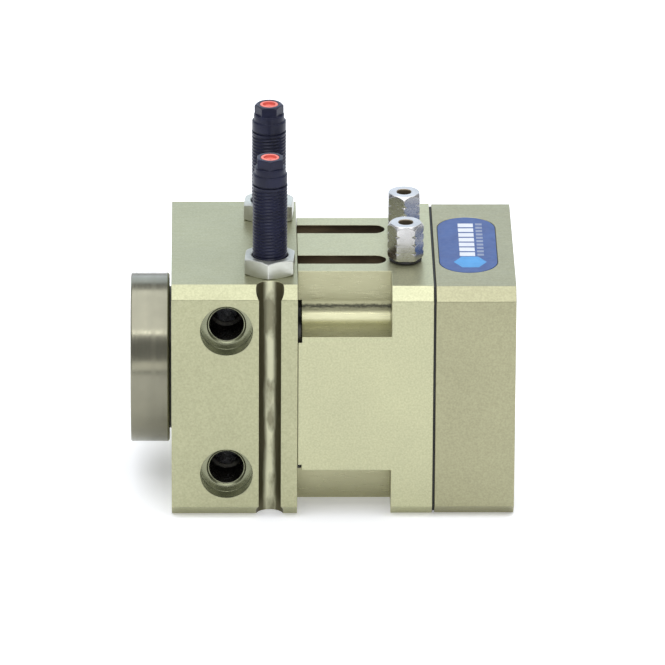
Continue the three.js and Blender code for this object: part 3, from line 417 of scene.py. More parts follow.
def rod(radius, span, axis="Z", material="steel", at=(0, 0, 0), sides=72, name="cutter"):
    low, high = min(span), max(span)
    profile = [(low, 0), (low, radius), (high, radius), (high, 0)]
    return lathe(profile, axis, material, at, sides, name)


def arc(centre, radius, start, end, steps):
    """Points of an arc, in degrees, both ends included."""
    angles = [math.radians(start + (end - start) * i / steps) for i in range(steps + 1)]
    return [(centre[0] + radius * math.cos(a), centre[1] + radius * math.sin(a)) for a in angles]


def hexagon(across_flats, turn=0):
    """Six corners; with no turn a corner points along the first axis."""
    return arc((0, 0), across_flats / math.sqrt(3), turn, turn + 300, 5)


def carve(obj, cutters, operation="DIFFERENCE"):
    """Cuts, joins or trims a solid with others, which are used up. Cut faces keep the cutter's material."""
    for cutter in cutters:
        modifier = obj.modifiers.new("carve", "BOOLEAN")
        modifier.operation = operation
        modifier.object = cutter
        modifier.solver = "EXACT"
        modifier.material_mode = "TRANSFER"
    settle(obj)
    for cutter in cutters:
        bpy.data.objects.remove(cutter)
    return obj


def settle(obj):
    """Replaces an object's mesh by what its modifiers make of it, with coplanar faces joined."""
    bpy.context.view_layer.update()
    evaluated = obj.evaluated_get(bpy.context.evaluated_depsgraph_get())
    mesh = bpy.data.meshes.new_from_object(evaluated)
    obj.modifiers.clear()
    obj.data = mesh
    bm = bmesh.new()
    bm.from_mesh(mesh)
    bmesh.ops.remove_doubles(bm, verts=bm.verts, dist=2e-6)
    bmesh.ops.dissolve_limit(
        bm, angle_limit=math.radians(0.2), verts=bm.verts, edges=bm.edges, delimit={"MATERIAL"}
    )
    bm.to_mesh(mesh)
    bm.free()


def broken_edges(obj, width=EDGE, segments=2, angle=32):
    """Rounds every sharp edge a little and smooths the shading between."""
    obj.data.polygons.foreach_set("use_smooth", [True] * len(obj.data.polygons))
    obj.data.set_sharp_from_angle(angle=math.radians(angle))
    bevel = obj.modifiers.new("edges", "BEVEL")
    bevel.width = width
    bevel.segments = segments
    bevel.limit_method = "ANGLE"
    bevel.angle_limit = math.radians(angle)
    bevel.use_clamp_overlap = False
    normals = obj.modifiers.new("normals", "WEIGHTED_NORMAL")
    normals.keep_sharp = True
    return obj


def stand_in(obj, name, *nodes, body=None, slot=None):
    """Names a finished piece, lets it ride, and hides the CAD nodes that it stands for."""
    obj.name = name
    obj.data.name = name
    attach(obj, body or BODY_OF[nodes[0]])
    if nodes:
        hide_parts(*nodes)
    return obj


# ---------------------------------------------------------------- blocks


def block_outline(half_width, low, high, chamfer=CHAMFER):
    """Section of a block with chamfered long edges, as (y, z)."""
    return [
        (-half_width, low + chamfer),
        (-half_width + chamfer, low),
        (half_width - chamfer, low),
        (half_width, low + chamfer),
        (half_width, high - chamfer),
        (half_width - chamfer, high),
        (-half_width + chamfer, high),
        (-half_width, high - chamfer),
    ]


def stadium(length, width, centre_x):
    """Outline of a slot with its long way along Y, as (x, y)."""
    radius = length / 2
    reach = width / 2 - radius
    return arc((centre_x, reach), radius, 0, 180, 32) + arc((centre_x, -reach), radius, 180, 360, 32)


def groove_z(x, face_y, side, low, high):
    """The cutter of an upright sensor groove."""
    at = (x, side * (face_y - GROOVE_AXIS_DEPTH), 0)
    return rod(GROOVE_RADIUS, (low - CUT_OVER, high + CUT_OVER), "Z", "groove_upright", at)


def mount_hole_cutters(opening, face):
    """A counterbored and threaded mounting hole, the same from both sides."""
    low, high = (Vector(corner) for corner in OPENINGS[opening])
    at = ((low.x + high.x) / 2, 0, (low.z + high.z) / 2)
    ledge = face - MOUNT["ledge"]
    lead = MOUNT["lead"]
    outline = [
        (face + CUT_OVER, 0),
        (face + CUT_OVER, MOUNT["counterbore"]),
        (ledge, MOUNT["counterbore"]),
        (ledge, MOUNT["thread"] + lead),
        (ledge - lead, MOUNT["thread"]),
        (ledge - lead, 0),
    ]
    counterbores = []
    for side in (-1, 1):
        placed = [(side * along, radius) for along, radius in outline]
        counterbores.append(lathe(placed, "Y", "counterbore", at, sides=96))
    return counterbores + [lathe(thread_bore_outline(ledge - lead, face), "Y", "bore", at, sides=64)]


def thread_bore_outline(start, face):
    """Outline of the threaded bore between two counterbores, with a plain stretch in the middle."""
    pitch, root = MOUNT["pitch"], MOUNT["thread"]
    into_lead, cone = 0.2 * MM, 0.6 * MM
    along = start + into_lead
    half = [(along, 0), (along, root)]
    while along - pitch > face - MOUNT["thread_end"]:
        half += [(along - pitch / 2, root - MOUNT["thread_depth"]), (along - pitch, root)]
        along -= pitch
    half.append((along - cone, MOUNT["through"]))
    return half + [(-y, radius) for y, radius in reversed(half)]


def spindle_cavity(x0, x1):
    """The stepped bore through the swivel housing, round the bearings and the pinion."""
    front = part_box("front_bearing_outer")
    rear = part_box("rear_bearing_outer")
    flange_room = half_height("spindle") + 0.5 * MM
    gear_room = half_height("pinion_gear") + 0.75 * MM
    front_seat = half_height("front_bearing_outer") + FIT
    rear_seat = half_height("rear_bearing_outer") + FIT
    shoulder = rear_seat - 1.3 * MM
    flange_end = front[0].x - 0.2 * MM
    profile = [
        (x0 - CUT_OVER, 0),
        (x0 - CUT_OVER, flange_room),
        (flange_end, flange_room),
        (flange_end, front_seat),
        (front[1].x, front_seat),
        (front[1].x, gear_room),
        (rear[0].x - FIT, gear_room),
        (rear[0].x - FIT, rear_seat),
        (rear[1].x, rear_seat),
        (rear[1].x, shoulder),
        (x1 + CUT_OVER, shoulder),
        (x1 + CUT_OVER, 0),
    ]
    return lathe(profile, "X", "bore", (0, 0, AXIS_HEIGHT), sides=96)


def rack_bore(place, bottom, top):
    """One upright bore: plug seat, cylinder for the rack, and the shock absorber's thread above."""
    rack = middle("rack_piston_" + place)
    damper = middle("damper_body_" + place)
    plug_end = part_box("bore_plug_" + place)[1].z + 0.2 * MM
    bore_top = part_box("damper_body_" + place)[0].z - 0.2 * MM
    rack_radius = half_width("rack_seal_" + place) + 0.05 * MM
    plug_radius = half_width("bore_plug_" + place) + FIT
    thread_radius = half_width("damper_body_" + place) + FIT
    below_thread = 10 * MM
    return [
        rod(rack_radius, (bottom - CUT_OVER, bore_top), "Z", "bore", (rack.x, rack.y, 0)),
        rod(plug_radius, (bottom - CUT_OVER, plug_end), "Z", "bore", (rack.x, rack.y, 0)),
        rod(thread_radius, (bore_top - below_thread, top + CUT_OVER), "Z", "bore", (damper.x, damper.y, 0)),
    ]


def screws(kind):
    """The CAD names of one kind of screw."""
    return ["%s_%d" % (kind, i + 1) for i in range(SCREWS[kind]["count"])]


def screw_hole(node, span, part="hole"):
    """The cutter of a screw's hole, or of the seat of its head."""
    centre = middle(node)
    kind = node.rsplit("_", 1)[0]
    return rod(SCREWS[kind][part] * MM, span, "X", "bore", (0, centre.y, centre.z), sides=40)


def swivel_housing():
    low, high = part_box("swivel_housing")
    obj = prism(block_outline(high.y, low.z, high.z), (low.x, high.x), "X", "anodised_housing")
    cutters = [spindle_cavity(low.x, high.x)]
    for place, side in SIDES:
        groove_low, groove_high = (Vector(corner) for corner in OPENINGS[place + "_sensor_groove"])
        cutters += rack_bore(place, low.z, high.z)
        cutters.append(groove_z((groove_low.x + groove_high.x) / 2, high.y, side, low.z, high.z))
    for name in ("upper_mounting_hole", "lower_mounting_hole"):
        cutters += mount_hole_cutters(name, high.y)
    for screw in screws("housing_screw"):
        cutters.append(screw_hole(screw, (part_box(screw)[0].x - TIP_ROOM, high.x + CUT_OVER)))
    return stand_in(broken_edges(carve(obj, cutters)), "swivel_housing_block", "swivel_housing")


def corner_recess(side_y, side_z, x0, reach):
    """The cutter of one milled corner of the cylinder body."""
    flat, fillet = RECESS["flat"], RECESS["fillet"]
    inner = flat + fillet
    outline = [(flat, reach), *arc((inner, inner), fillet, 180, 270, 16), (reach, flat), (reach, reach)]
    placed = [(side_y * y, AXIS_HEIGHT + side_z * z) for y, z in outline]
    return prism(placed, (x0 - CUT_OVER, x0 + RECESS["length"]), "X", "recess_face")


def top_slot(side, x0, top):
    """The cutter of one sensor slot with a ball-nosed end."""
    end = x0 + TOP_SLOT["end"]
    nose = arc((end, 0), GROOVE_RADIUS, 90, 0, 14)
    profile = [(x0 - CUT_OVER, 0), (x0 - CUT_OVER, GROOVE_RADIUS), *nose[:-1], (end + GROOVE_RADIUS, 0)]
    return lathe(profile, "X", "groove_long", (0, side * TOP_SLOT["offset"], top - GROOVE_AXIS_DEPTH))


def cylinder_body():
    low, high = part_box("cylinder_body")
    obj = prism(block_outline(high.y, low.z, high.z), (low.x, high.x), "X", "anodised_body")
    bush_start, start = low.x + PISTON_BORE["bush_start"], low.x + PISTON_BORE["start"]
    bore = [
        (low.x - CUT_OVER, 0),
        (low.x - CUT_OVER, PISTON_BORE["rod"]),
        (bush_start, PISTON_BORE["rod"]),
        (bush_start, PISTON_BORE["bush"]),
        (start, PISTON_BORE["bush"]),
        (start, PISTON_BORE["radius"]),
        (high.x + CUT_OVER, PISTON_BORE["radius"]),
        (high.x + CUT_OVER, 0),
    ]
    cutters = [lathe(bore, "X", "bore", (0, 0, AXIS_HEIGHT), sides=96)]
    for place, side in SIDES:
        fitting = middle("fitting_body_" + place)
        port = (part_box("fitting_body_" + place)[0].z - 0.9 * MM, high.z + CUT_OVER)
        cutters.append(top_slot(side, low.x, high.z))
        cutters.append(rod(PORT_RADIUS, port, "Z", "bore", (fitting.x, fitting.y, 0)))
        for side_z in (-1, 1):
            # the relief pockets take the near-black bore colour, which is painted shade in them
            relief_at = (0, side * RELIEF["y"], AXIS_HEIGHT + side_z * RELIEF["z"])
            relief_span = (low.x - CUT_OVER, low.x + RELIEF["depth"])
            cutters.append(corner_recess(side, side_z, low.x, high.y + 2 * CUT_OVER))
            cutters.append(rod(RELIEF["radius"], relief_span, "X", "bore", relief_at))
    end = high.x + CUT_OVER
    seat_floor = high.x - SCREWS["housing_screw"]["seat_depth"] * MM
    for cover, housing in zip(screws("cover_screw"), screws("housing_screw")):
        cutters.append(screw_hole(cover, (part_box(cover)[0].x - TIP_ROOM, end)))
        cutters.append(screw_hole(housing, (low.x - CUT_OVER, end)))
        cutters.append(screw_hole(housing, (seat_floor, end), "seat"))
    return stand_in(broken_edges(carve(obj, cutters)), "cylinder_body_block", "cylinder_body")


def end_cover():
    low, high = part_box("end_cover")
    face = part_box("cover_gasket")[1].x + 0.05 * MM
    label_low, label_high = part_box("label_plate")
    room = 0.3 * MM
    axis_at = (0, 0, AXIS_HEIGHT)
    obj = prism(block_outline(high.y, low.z, high.z), (face, high.x), "X", "anodised_cover")
    spigot = PISTON_BORE["radius"] - COVER_SPIGOT["clearance"]
    spigot_span = (low.x, face + COVER_SPIGOT["into"])
    carve(obj, [rod(spigot, spigot_span, "X", "anodised_cover", axis_at, sides=96)], "UNION")
    seat_length = label_high.x - label_low.x + room
    seat_width = label_high.y - label_low.y + room
    label_seat = stadium(seat_length, seat_width, (label_low.x + label_high.x) / 2)
    hollow_span = (low.x - CUT_OVER, face + COVER_SPIGOT["hollow_depth"])
    cutters = [
        prism(label_seat, (label_low.z - 0.05 * MM, high.z + CUT_OVER), "Z", "anodised_cover"),
        rod(COVER_SPIGOT["hollow"], hollow_span, "X", "bore", axis_at),
    ]
    seat_floor = high.x - SCREWS["cover_screw"]["seat_depth"] * MM
    for screw in screws("cover_screw"):
        cutters.append(screw_hole(screw, (face - CUT_OVER, high.x + CUT_OVER)))
        cutters.append(screw_hole(screw, (seat_floor, high.x + CUT_OVER), "seat"))
    return stand_in(broken_edges(carve(obj, cutters)), "end_cover_block", "end_cover")


# ---------------------------------------------------------------- label

# What is printed on the label. Column and start are shares of its length and width.
BAR = {"count": 7, "length": 4.4 * MM, "width": 2.8 * MM, "pitch": 3.7 * MM, "column": 0.49, "start": 0.33}
DASH = {"count": 10, "length": 1.9 * MM, "width": 1.5 * MM, "pitch": 2.6 * MM, "column": 0.72, "start": 0.32}
HEXAGON_MARK = {"across": 8.2 * MM, "column": 0.53, "start": 0.19}
PRINT_HEIGHT = 0.02 * MM


def label_marks(marks, name, material):
    """A column of plain bars printed on the label."""
    low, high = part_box("label_plate")
    x = low.x + marks["column"] * (high.x - low.x)
    y0 = low.y + marks["start"] * (high.y - low.y)
    bm = bmesh.new()
    for i in range(marks["count"]):
        y = y0 + i * marks["pitch"]
        size = Matrix.Diagonal((marks["length"], marks["width"], PRINT_HEIGHT, 1))
        bmesh.ops.create_cube(bm, size=1, matrix=Matrix.Translation((x, y, high.z)) @ size)
    obj = mesh_object(name, bm, material)
    return stand_in(obj, name, body=BODY_OF["label_plate"], slot="label_film")


def label():
    low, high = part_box("label_plate")
    length, width = high.x - low.x, high.y - low.y
    plate = prism(stadium(length, width, (low.x + high.x) / 2), (low.z, high.z), "Z", "label_film")
    stand_in(broken_edges(plate, 0.06 * MM), "label_plate_film", "label_plate")
    label_marks(BAR, "label_bars", "print_white")
    label_marks(DASH, "label_dashes", "print_grey")
    mark_at = (low.x + HEXAGON_MARK["column"] * length, low.y + HEXAGON_MARK["start"] * width, 0)
    printed = (high.z - PRINT_HEIGHT, high.z + PRINT_HEIGHT / 2)
    mark = prism(hexagon(HEXAGON_MARK["across"]), printed, "Z", "print_blue", mark_at)
    stand_in(mark, "label_hexagon", body=BODY_OF["label_plate"], slot="label_film")


# ---------------------------------------------------------------- fasteners and fittings


def chamfered_bar(across_flats, radius, span, turn, at, material, chamfer, name="bar"):
    """A hexagonal bar whose corners are turned off at both ends."""
    low, high = span
    flat = across_flats / 2 - 0.1 * MM
    envelope = [
        (low, 0),
        (low, flat if chamfer[0] else radius),
        (low + chamfer[0], radius),
        (high - chamfer[1], radius),
        (high, flat),
        (high, 0),
    ]
    bar = prism(hexagon(across_flats, turn), span, "Z", material, at, name)
    return carve(bar, [lathe(envelope, "Z", material, at, sides=96)], "INTERSECT")


def damper_nut(place):
    low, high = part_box("damper_nut_" + place)
    centre = (low + high) / 2
    at = (centre.x, centre.y, 0)
    turned_radius, lead, turn = 8.0 * MM, 0.35 * MM, 86
    chamfers = (0.3 * MM, 0.6 * MM)
    nut = chamfered_bar(high.x - low.x, turned_radius, (low.z, high.z), turn, at, "nut_steel", chamfers)
    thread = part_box("damper_body_" + place)[1].x - centre.x + FIT
    outline = [
        (low.z - CUT_OVER, 0),
        (low.z - CUT_OVER, thread),
        (high.z - lead, thread),
        (high.z + CUT_OVER, thread + lead + CUT_OVER),
        (high.z + CUT_OVER, 0),
    ]
    carve(nut, [lathe(outline, "Z", "nut_steel", at)])
    return stand_in(broken_edges(nut, 0.1 * MM), "lock_nut_" + place, "damper_nut_" + place)


def threaded_rod(bm, radius, pitch, depth, span, sides=64, steps=8):
    """Adds a rod's side with a helical thread that runs out at both ends, and returns its end rings."""
    low, high = span
    rows = max(2, round((high - low) / pitch * steps))
    run_out = 1.2 * pitch
    rings = []
    for row in range(rows + 1):
        z = low + (high - low) * row / rows
        fade = max(0, min(1, (z - low) / run_out, (high - z) / run_out))
        phases = [(z / pitch - i / sides) % 1 for i in range(sides)]
        rings.append(ring_at(bm, z, [radius - depth * fade * (1 - abs(2 * phase - 1)) for phase in phases]))
    wall(bm, rings)
    return rings[0], rings[-1]


def damper_body(place, turn):
    """A shock absorber: thread, collar, neck and a hexagon for the setting key."""
    low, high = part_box("damper_body_" + place)
    centre = (low + high) / 2
    at = (centre.x, centre.y, 0)
    size = {key: value * MM for key, value in DAMPER.items()}
    radius, neck, soft, step = high.x - centre.x, size["neck"], size["soft"], size["collar_step"]
    collar = radius - step
    collar_top = high.z - size["collar_top"]
    collar_low = collar_top - size["collar_height"]
    neck_top = high.z - size["neck_top"]
    thread_top = collar_low - size["relief"]
    bm = bmesh.new()
    first, last = threaded_rod(bm, radius, size["pitch"], size["thread_depth"], (low.z, thread_top))
    bm.faces.new(list(reversed(first)))
    levels = [
        (thread_top + step / 2, neck + step),
        (collar_low, neck + step),
        (collar_low + step, collar),
        (collar_top - soft, collar),
        (collar_top, collar - soft),
        (collar_top, neck + step / 2),
        (neck_top - soft, neck),
        (neck_top, neck - soft),
    ]
    rings = [last] + [ring_at(bm, z, [r] * len(last)) for z, r in levels]
    wall(bm, rings)
    bm.faces.new(rings[-1])
    bm.transform(Matrix.Translation(at))
    obj = mesh_object("shock_absorber_" + place, bm, "black_oxide")
    key_span, key_corner, chamfers = (neck_top - 0.5 * MM, high.z), neck - 0.15 * MM, (0, 0.45 * MM)
    key = chamfered_bar(size["key_flats"], key_corner, key_span, turn, at, "black_oxide", chamfers)
    carve(obj, [key], "UNION")
    rod_radius = half_width("damper_rod_" + place) + FIT
    rod_span = (low.z - CUT_OVER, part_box("damper_rod_" + place)[1].z + size["rod_room"])
    plug_radius = half_width("damper_plug_" + place) + FIT
    plug_span = (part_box("damper_plug_" + place)[0].z - FIT, high.z + CUT_OVER)
    cutters = [
        rod(rod_radius, rod_span, "Z", "black_oxide", at, sides=40),
        rod(plug_radius, plug_span, "Z", "black_oxide", at, sides=48),
    ]
    carve(obj, cutters)
    return stand_in(broken_edges(obj, 0.08 * MM, angle=50), obj.name, "damper_body_" + place)


def damper_plug(place):
    """The red setting ring in the top of a shock absorber, with a hexagon socket."""
    low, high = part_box("damper_plug_" + place)
    centre = (low + high) / 2
    at = (centre.x, centre.y, 0)
    radius = (high.x - low.x) / 2
    dish_radius, dish_floor = 0.72 * radius, high.z - 0.7 * (high.z - low.z)
    ring = rod(radius, (low.z, high.z), "Z", "red_plastic", at, sides=48)
    dish = rod(dish_radius, (dish_floor, high.z + CUT_OVER), "Z", "red_plastic", at, sides=40)
    socket = prism(hexagon(1.6 * MM, 90), (low.z - CUT_OVER, high.z), "Z", "red_plastic", at)
    carve(ring, [dish, socket])
    return stand_in(broken_edges(ring, 0.1 * MM), "setting_ring_" + place, "damper_plug_" + place)


def fitting(place, side):
    """A hose fitting: a hexagon whose corners are rounded into a row of lobes."""
    low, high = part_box("fitting_body_" + place)
    centre = (low + high) / 2
    at = (centre.x, centre.y, 0)
    seal_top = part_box("fitting_seal_" + place)[1].z
    stem, tube, air_way = 2.4 * MM, 2 * MM, 1.25 * MM
    tube_depth, lead = 6 * MM, 0.2 * MM
    across, corner = 9.0 * MM, 5.2 * MM
    cone, lobes, notch = 0.6 * MM, 4, 0.4 * MM
    turn = 90 if side > 0 else 0
    bar = prism(hexagon(across, turn), (seal_top, high.z), "Z", "nickel", at, "bar")
    lobe = (high.z - cone - seal_top) / lobes
    outline = []
    for i in range(lobes):
        start = seal_top + i * lobe
        outline += [(start, corner - notch), (start + 0.22 * lobe, corner), (start + 0.78 * lobe, corner)]
    outline.append((high.z - cone, corner - notch))
    envelope = [(seal_top, 0), *outline, (high.z, across / 2 - lead), (high.z, 0)]
    carve(bar, [lathe(envelope, "Z", "nickel", at, sides=96)], "INTERSECT")
    carve(bar, [rod(stem, (low.z, seal_top + 1 * MM), "Z", "nickel", at, sides=48)], "UNION")
    hole = [
        (low.z - CUT_OVER, 0),
        (low.z - CUT_OVER, air_way),
        (high.z - tube_depth, air_way),
        (high.z - tube_depth, tube),
        (high.z - lead, tube),
        (high.z + CUT_OVER, tube + lead + CUT_OVER),
        (high.z + CUT_OVER, 0),
    ]
    carve(bar, [lathe(hole, "Z", "groove_long", at, sides=48)])
    return stand_in(broken_edges(bar, 0.12 * MM, angle=25), "hose_fitting_" + place, "fitting_body_" + place)


def fitting_seal(place):
    low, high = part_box("fitting_seal_" + place)
    centre = (low + high) / 2
    inner, outer = 2.5 * MM, (high.x - low.x) / 2
    bulge = (high.z - low.z) / 2
    rim = arc((outer - bulge, centre.z), bulge, -90, 90, 10)
    profile = [(low.z, inner), *[(z, radius) for radius, z in rim], (high.z, inner)]
    ring = lathe(profile, "Z", "rubber", (centre.x, centre.y, 0), sides=64)
    return stand_in(broken_edges(ring, 0.05 * MM), "seal_ring_" + place, "fitting_seal_" + place)


def cap_screw(kind, number):
    """A socket-head screw along X: chamfered head, hexagon socket and a threaded end."""
    node = "%s_%d" % (kind, number)
    name = "%s_%d" % (SCREWS[kind]["piece"], number)
    head_at_high = SCREWS[kind]["head_at_high"]
    low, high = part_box(node)
    centre = (low + high) / 2
    head_radius = (high.y - low.y) / 2
    length = high.x - low.x
    shank, head_height = SCREWS[kind]["shank"] * MM, SCREWS[kind]["head"] * MM
    soft, crest, tip, pitch = 0.25 * MM, 0.2 * MM, 0.4 * MM, 0.7 * MM
    profile = [(0, 0), (0, head_radius - soft), (soft, head_radius)]
    profile += [(head_height, head_radius), (head_height, shank)]
    along = length - SCREWS[kind]["thread"] * MM
    while along + pitch < length:
        profile += [(along, shank), (along + pitch / 2, shank - crest)]
        along += pitch
    profile += [(length - tip, shank), (length, shank - tip), (length, 0)]
    flip = -1 if head_at_high else 1
    start = high.x if head_at_high else low.x
    placed = [(start + flip * distance, radius) for distance, radius in profile]
    at = (0, centre.y, centre.z)
    screw = lathe(placed, "X", "black_oxide", at, sides=40, name=name)
    socket_flats, socket_depth = head_radius * 0.98, head_height * 0.55
    socket_span = (start - flip * CUT_OVER, start + flip * socket_depth)
    carve(screw, [prism(hexagon(socket_flats), socket_span, "X", "black_oxide", at)])
    return stand_in(broken_edges(screw, 0.06 * MM, angle=40), name, node)


# ---------------------------------------------------------------- gripper head

# The window in the face plate for a jaw's boss, with 0.2 mm of room: the boss is 8 mm wide, reaches from
# 9.2 to 14.8 mm off the axis at rest, and travels 2 mm outwards.
JAW_BOSS = {"half_width": 4.2 * MM, "start": 9.0 * MM, "end": 17.0 * MM}


def rectangle(half_width, low, high):
    """An upright rectangle about the middle plane, as (y, z)."""
    return [(-half_width, low), (half_width, low), (half_width, high), (-half_width, high)]


def head_body():
    low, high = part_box("head_body")
    radius = half_height("head_body")
    plate_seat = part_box("head_plate")[1].x + FIT
    guide_low, guide_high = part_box("jaw_upper")
    rim, room = 0.5 * MM, 0.2 * MM
    plate_radius = half_height("head_plate") + room
    axis_at = (0, 0, AXIS_HEIGHT)
    profile = [
        (low.x, 0),
        *arc((low.x + rim, radius - rim), rim, 180, 90, 6),
        (high.x - rim, radius),
        (high.x, radius - rim),
        (high.x, 0),
    ]
    obj = lathe(profile, "X", "head_metal", axis_at, sides=144)
    jaw_reach = guide_high.z - AXIS_HEIGHT + 2.5 * MM
    guide_half = (guide_high.y - guide_low.y) / 2 + room
    guide = rectangle(guide_half, AXIS_HEIGHT - jaw_reach, AXIS_HEIGHT + jaw_reach)
    hollow = 9.8 * MM
    cutters = [
        rod(plate_radius, (low.x - CUT_OVER, plate_seat), "X", "bore", axis_at, sides=96),
        prism(guide, (low.x - CUT_OVER, guide_high.x + room), "X", "bore"),
        rod(hollow, (low.x - CUT_OVER, high.x + CUT_OVER), "X", "bore", axis_at),
    ]
    for plate_screw, drive_screw in zip(screws("head_plate_screw"), screws("head_drive_screw")):
        seat_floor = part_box(drive_screw)[0].x + SCREWS["head_drive_screw"]["head"] * MM
        cutters.append(screw_hole(plate_screw, (low.x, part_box(plate_screw)[1].x + 0.3 * MM)))
        cutters.append(screw_hole(drive_screw, (low.x, high.x + CUT_OVER)))
        cutters.append(screw_hole(drive_screw, (low.x, seat_floor), "seat"))
    return stand_in(broken_edges(carve(obj, cutters), 0.12 * MM), "head_disc", "head_body")


def head_plate():
    low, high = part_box("head_plate")
    obj = rod(half_height("head_plate"), (low.x, high.x), "X", "head_metal", (0, 0, AXIS_HEIGHT), sides=120)
    through = (low.x - CUT_OVER, high.x + CUT_OVER)
    cutters = []
    for side in (-1, 1):
        ends = [AXIS_HEIGHT + side * JAW_BOSS[key] for key in ("start", "end")]
        cutters.append(prism(rectangle(JAW_BOSS["half_width"], *ends), through, "X", "head_metal"))
    for screw in screws("head_plate_screw"):
        seat_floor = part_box(screw)[0].x + SCREWS["head_plate_screw"]["head"] * MM
        cutters.append(screw_hole(screw, through))
        cutters.append(screw_hole(screw, (low.x - CUT_OVER, seat_floor), "seat"))
    return stand_in(broken_edges(carve(obj, cutters), 0.15 * MM), "head_face_plate", "head_plate")


# ---------------------------------------------------------------- return spring

SPRING = {"turns": 4, "steps": 40, "sides": 12, "wire": 0.7 * MM}


def return_spring():
    """The grip's return spring: a coil of round wire about the main axis."""
    low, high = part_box("grip_spring")
    wire, sides = SPRING["wire"], SPRING["sides"]
    coil = half_height("grip_spring") - wire
    count = SPRING["turns"] * SPRING["steps"]
    bm = bmesh.new()
    rings = []
    for i in range(count + 1):
        turn = 2 * math.pi * i / SPRING["steps"]
        x = low.x + wire + (high.x - low.x - 2 * wire) * i / count
        ring = []
        for j in range(sides):
            a = 2 * math.pi * j / sides
            r = coil + wire * math.cos(a)
            place = (x + wire * math.sin(a), r * math.cos(turn), AXIS_HEIGHT + r * math.sin(turn))
            ring.append(bm.verts.new(place))
        rings.append(ring)
    wall(bm, rings)
    bm.faces.new(list(reversed(rings[0])))
    bm.faces.new(rings[-1])
    obj = mesh_object("return_spring", bm, "steel")
    obj.data.polygons.foreach_set("use_smooth", [True] * len(obj.data.polygons))
    stand_in(obj, "return_spring", "grip_spring")
    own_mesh(obj)


# ---------------------------------------------------------------- build


# CAD pieces drawn in another material than their slot's: the spindle is steel painted darker, as painted
# shade for the narrow gap between head disc and housing.
FINISH_OF = {"spindle": "gap_shade_steel"}


def refined_cad_nodes():
    """A new piece for each CAD node still shown, of the same shape, with slightly broken edges."""
    for node, original in frame["nodes"].items():
        if original.hide_render:
            continue
        obj = bpy.data.objects.new(node + "_piece", original.data.copy())
        obj.data.materials.clear()
        obj.data.materials.append(MATERIALS[FINISH_OF.get(node, SLOT_OF[node])])
        bpy.context.scene.collection.objects.link(obj)
        settle(obj)
        stand_in(broken_edges(obj, 0.08 * MM), node + "_piece", node)


def build():
    swivel_housing()
    cylinder_body()
    end_cover()
    label()
    head_body()
    head_plate()
    return_spring()
    for place, side in SIDES:
        damper_body(place, 90 if side < 0 else 0)
        damper_nut(place)
        damper_plug(place)
        fitting(place, side)
        fitting_seal(place)
    for number in range(1, 5):
        cap_screw("cover_screw", number)
        cap_screw("housing_screw", number)
    for number in (1, 2):
        cap_screw("head_plate_screw", number)
        cap_screw("head_drive_screw", number)
    refined_cad_nodes()


# ---------------------------------------------------------------- camera, floor and light

CAMERA = {"azimuth": 0.90, "elevation": 22.5, "roll": 0.31, "distance": 2.541, "lens": 475.7}
AIM = {"right": 3.21 * MM, "up": 6.97 * MM}


def direction(azimuth, elevation):
    """The way from the object out to a place in the studio, in degrees: azimuth 0 is straight in front."""
    a, e = math.radians(azimuth), math.radians(elevation)
    return Vector((-math.sin(a) * math.cos(e), -math.cos(a) * math.cos(e), math.sin(e)))


def camera():
    back = direction(CAMERA["azimuth"], CAMERA["elevation"])
    level = Vector((-back.y, back.x, 0)).normalized()
    upright = back.cross(level)
    roll = math.radians(CAMERA["roll"])
    right = math.cos(roll) * level + math.sin(roll) * upright
    up = back.cross(right)
    aim = Vector((0, 0, AXIS_HEIGHT)) + AIM["right"] * level + AIM["up"] * upright
    data = bpy.data.cameras.new("camera")
    data.lens = CAMERA["lens"]
    data.clip_start = 0.05
    data.clip_end = 20
    obj = bpy.data.objects.new("camera", data)
    rotation = Matrix((right, up, back)).transposed().to_4x4()
    obj.matrix_world = Matrix.Translation(aim + CAMERA["distance"] * back) @ rotation
    bpy.context.scene.collection.objects.link(obj)
    bpy.context.scene.camera = obj


def softbox(name, azimuth, elevation, distance, size, power, tint=(1, 1, 1)):
    data = bpy.data.lights.new(name, "AREA")
    data.shape = "RECTANGLE"
    data.size, data.size_y = size
    data.energy = power
    data.color = tint
    obj = bpy.data.objects.new(name, data)
    back = direction(azimuth, elevation)
    obj.location = Vector((0, 0, AXIS_HEIGHT)) + distance * back
    obj.rotation_euler = back.to_track_quat("Z", "Y").to_euler()
    obj.visible_camera = False
    bpy.context.scene.collection.objects.link(obj)


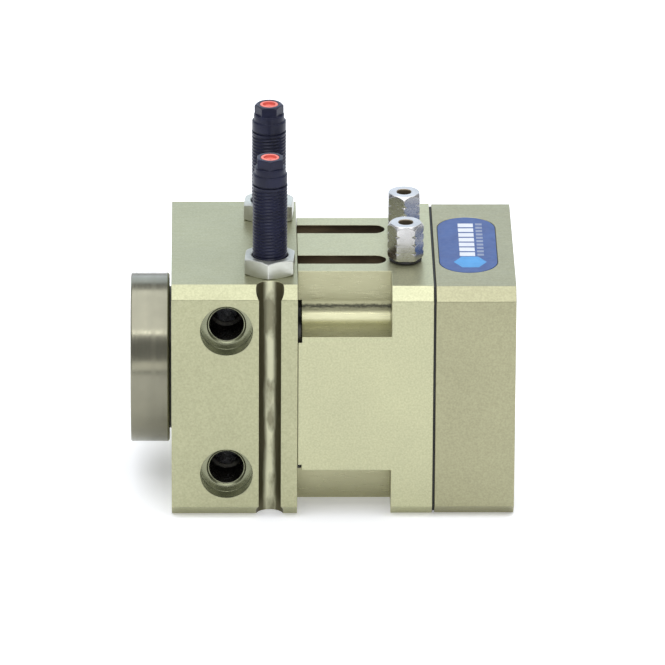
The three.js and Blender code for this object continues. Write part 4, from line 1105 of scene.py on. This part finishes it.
# Brightness of the room from the horizon, 0, to straight above, 1: pale walls, a darker upper stretch and a
# bright ceiling.
ROOM = ((0.0, 0.55), (0.28, 0.5), (0.45, 0.4), (0.66, 0.4), (0.82, 0.85), (1.0, 0.85))


def room():
    world = bpy.data.worlds.new("studio")
    world.use_nodes = True
    tree = world.node_tree
    place = tree.nodes.new("ShaderNodeTexCoord")
    parts = tree.nodes.new("ShaderNodeSeparateXYZ")
    ramp = tree.nodes.new("ShaderNodeValToRGB")
    stops = ramp.color_ramp.elements
    while len(stops) < len(ROOM):
        stops.new(0.5)
    for stop, (height, level) in zip(stops, ROOM):
        stop.position = height
        stop.color = (0.93 * level, 0.95 * level, level, 1)
    tree.links.new(place.outputs["Generated"], parts.inputs["Vector"])
    tree.links.new(parts.outputs["Z"], ramp.inputs["Fac"])
    tree.links.new(ramp.outputs["Color"], tree.nodes["Background"].inputs["Color"])
    bpy.context.scene.world = world


def floor():
    bm = bmesh.new()
    bmesh.ops.create_grid(bm, x_segments=8, y_segments=8, size=4)
    bmesh.ops.translate(bm, verts=bm.verts, vec=(0, 0, -0.02 * MM))
    surface = Surface("floor", Roughness=0.9, Specular_IOR_Level=0.2, Emission_Color=(1, 1, 1, 1),
                      Emission_Strength=0.27)
    tone = surface.range(surface.noise(3), 0, 1)
    surface.drive("Base Color", surface.mix(tone, (0.93, 0.93, 0.93, 1), (0.91, 0.91, 0.915, 1)))
    mesh = bpy.data.meshes.new("floor")
    bm.to_mesh(mesh)
    bm.free()
    mesh.materials.append(surface.material)
    obj = bpy.data.objects.new("floor", mesh)
    bpy.context.scene.collection.objects.link(obj)


def studio():
    room()
    bpy.context.scene.view_settings.view_transform = "Standard"
    softbox("key", 4, 55, 1.8, (1.2, 0.1), 1.7)
    softbox("overhead", 0, 90, 1.5, (2.4, 2.2), 26, (0.94, 0.955, 1))
    softbox("backdrop", 0, 157, 2.0, (3.0, 1.0), 10, (0.72, 0.84, 1))
    softbox("front_fill", 0, 10, 2.4, (2.4, 0.5), 5)
    floor()


build()
camera()
studio()


def rows(box):
    return [list(corner) for corner in box]
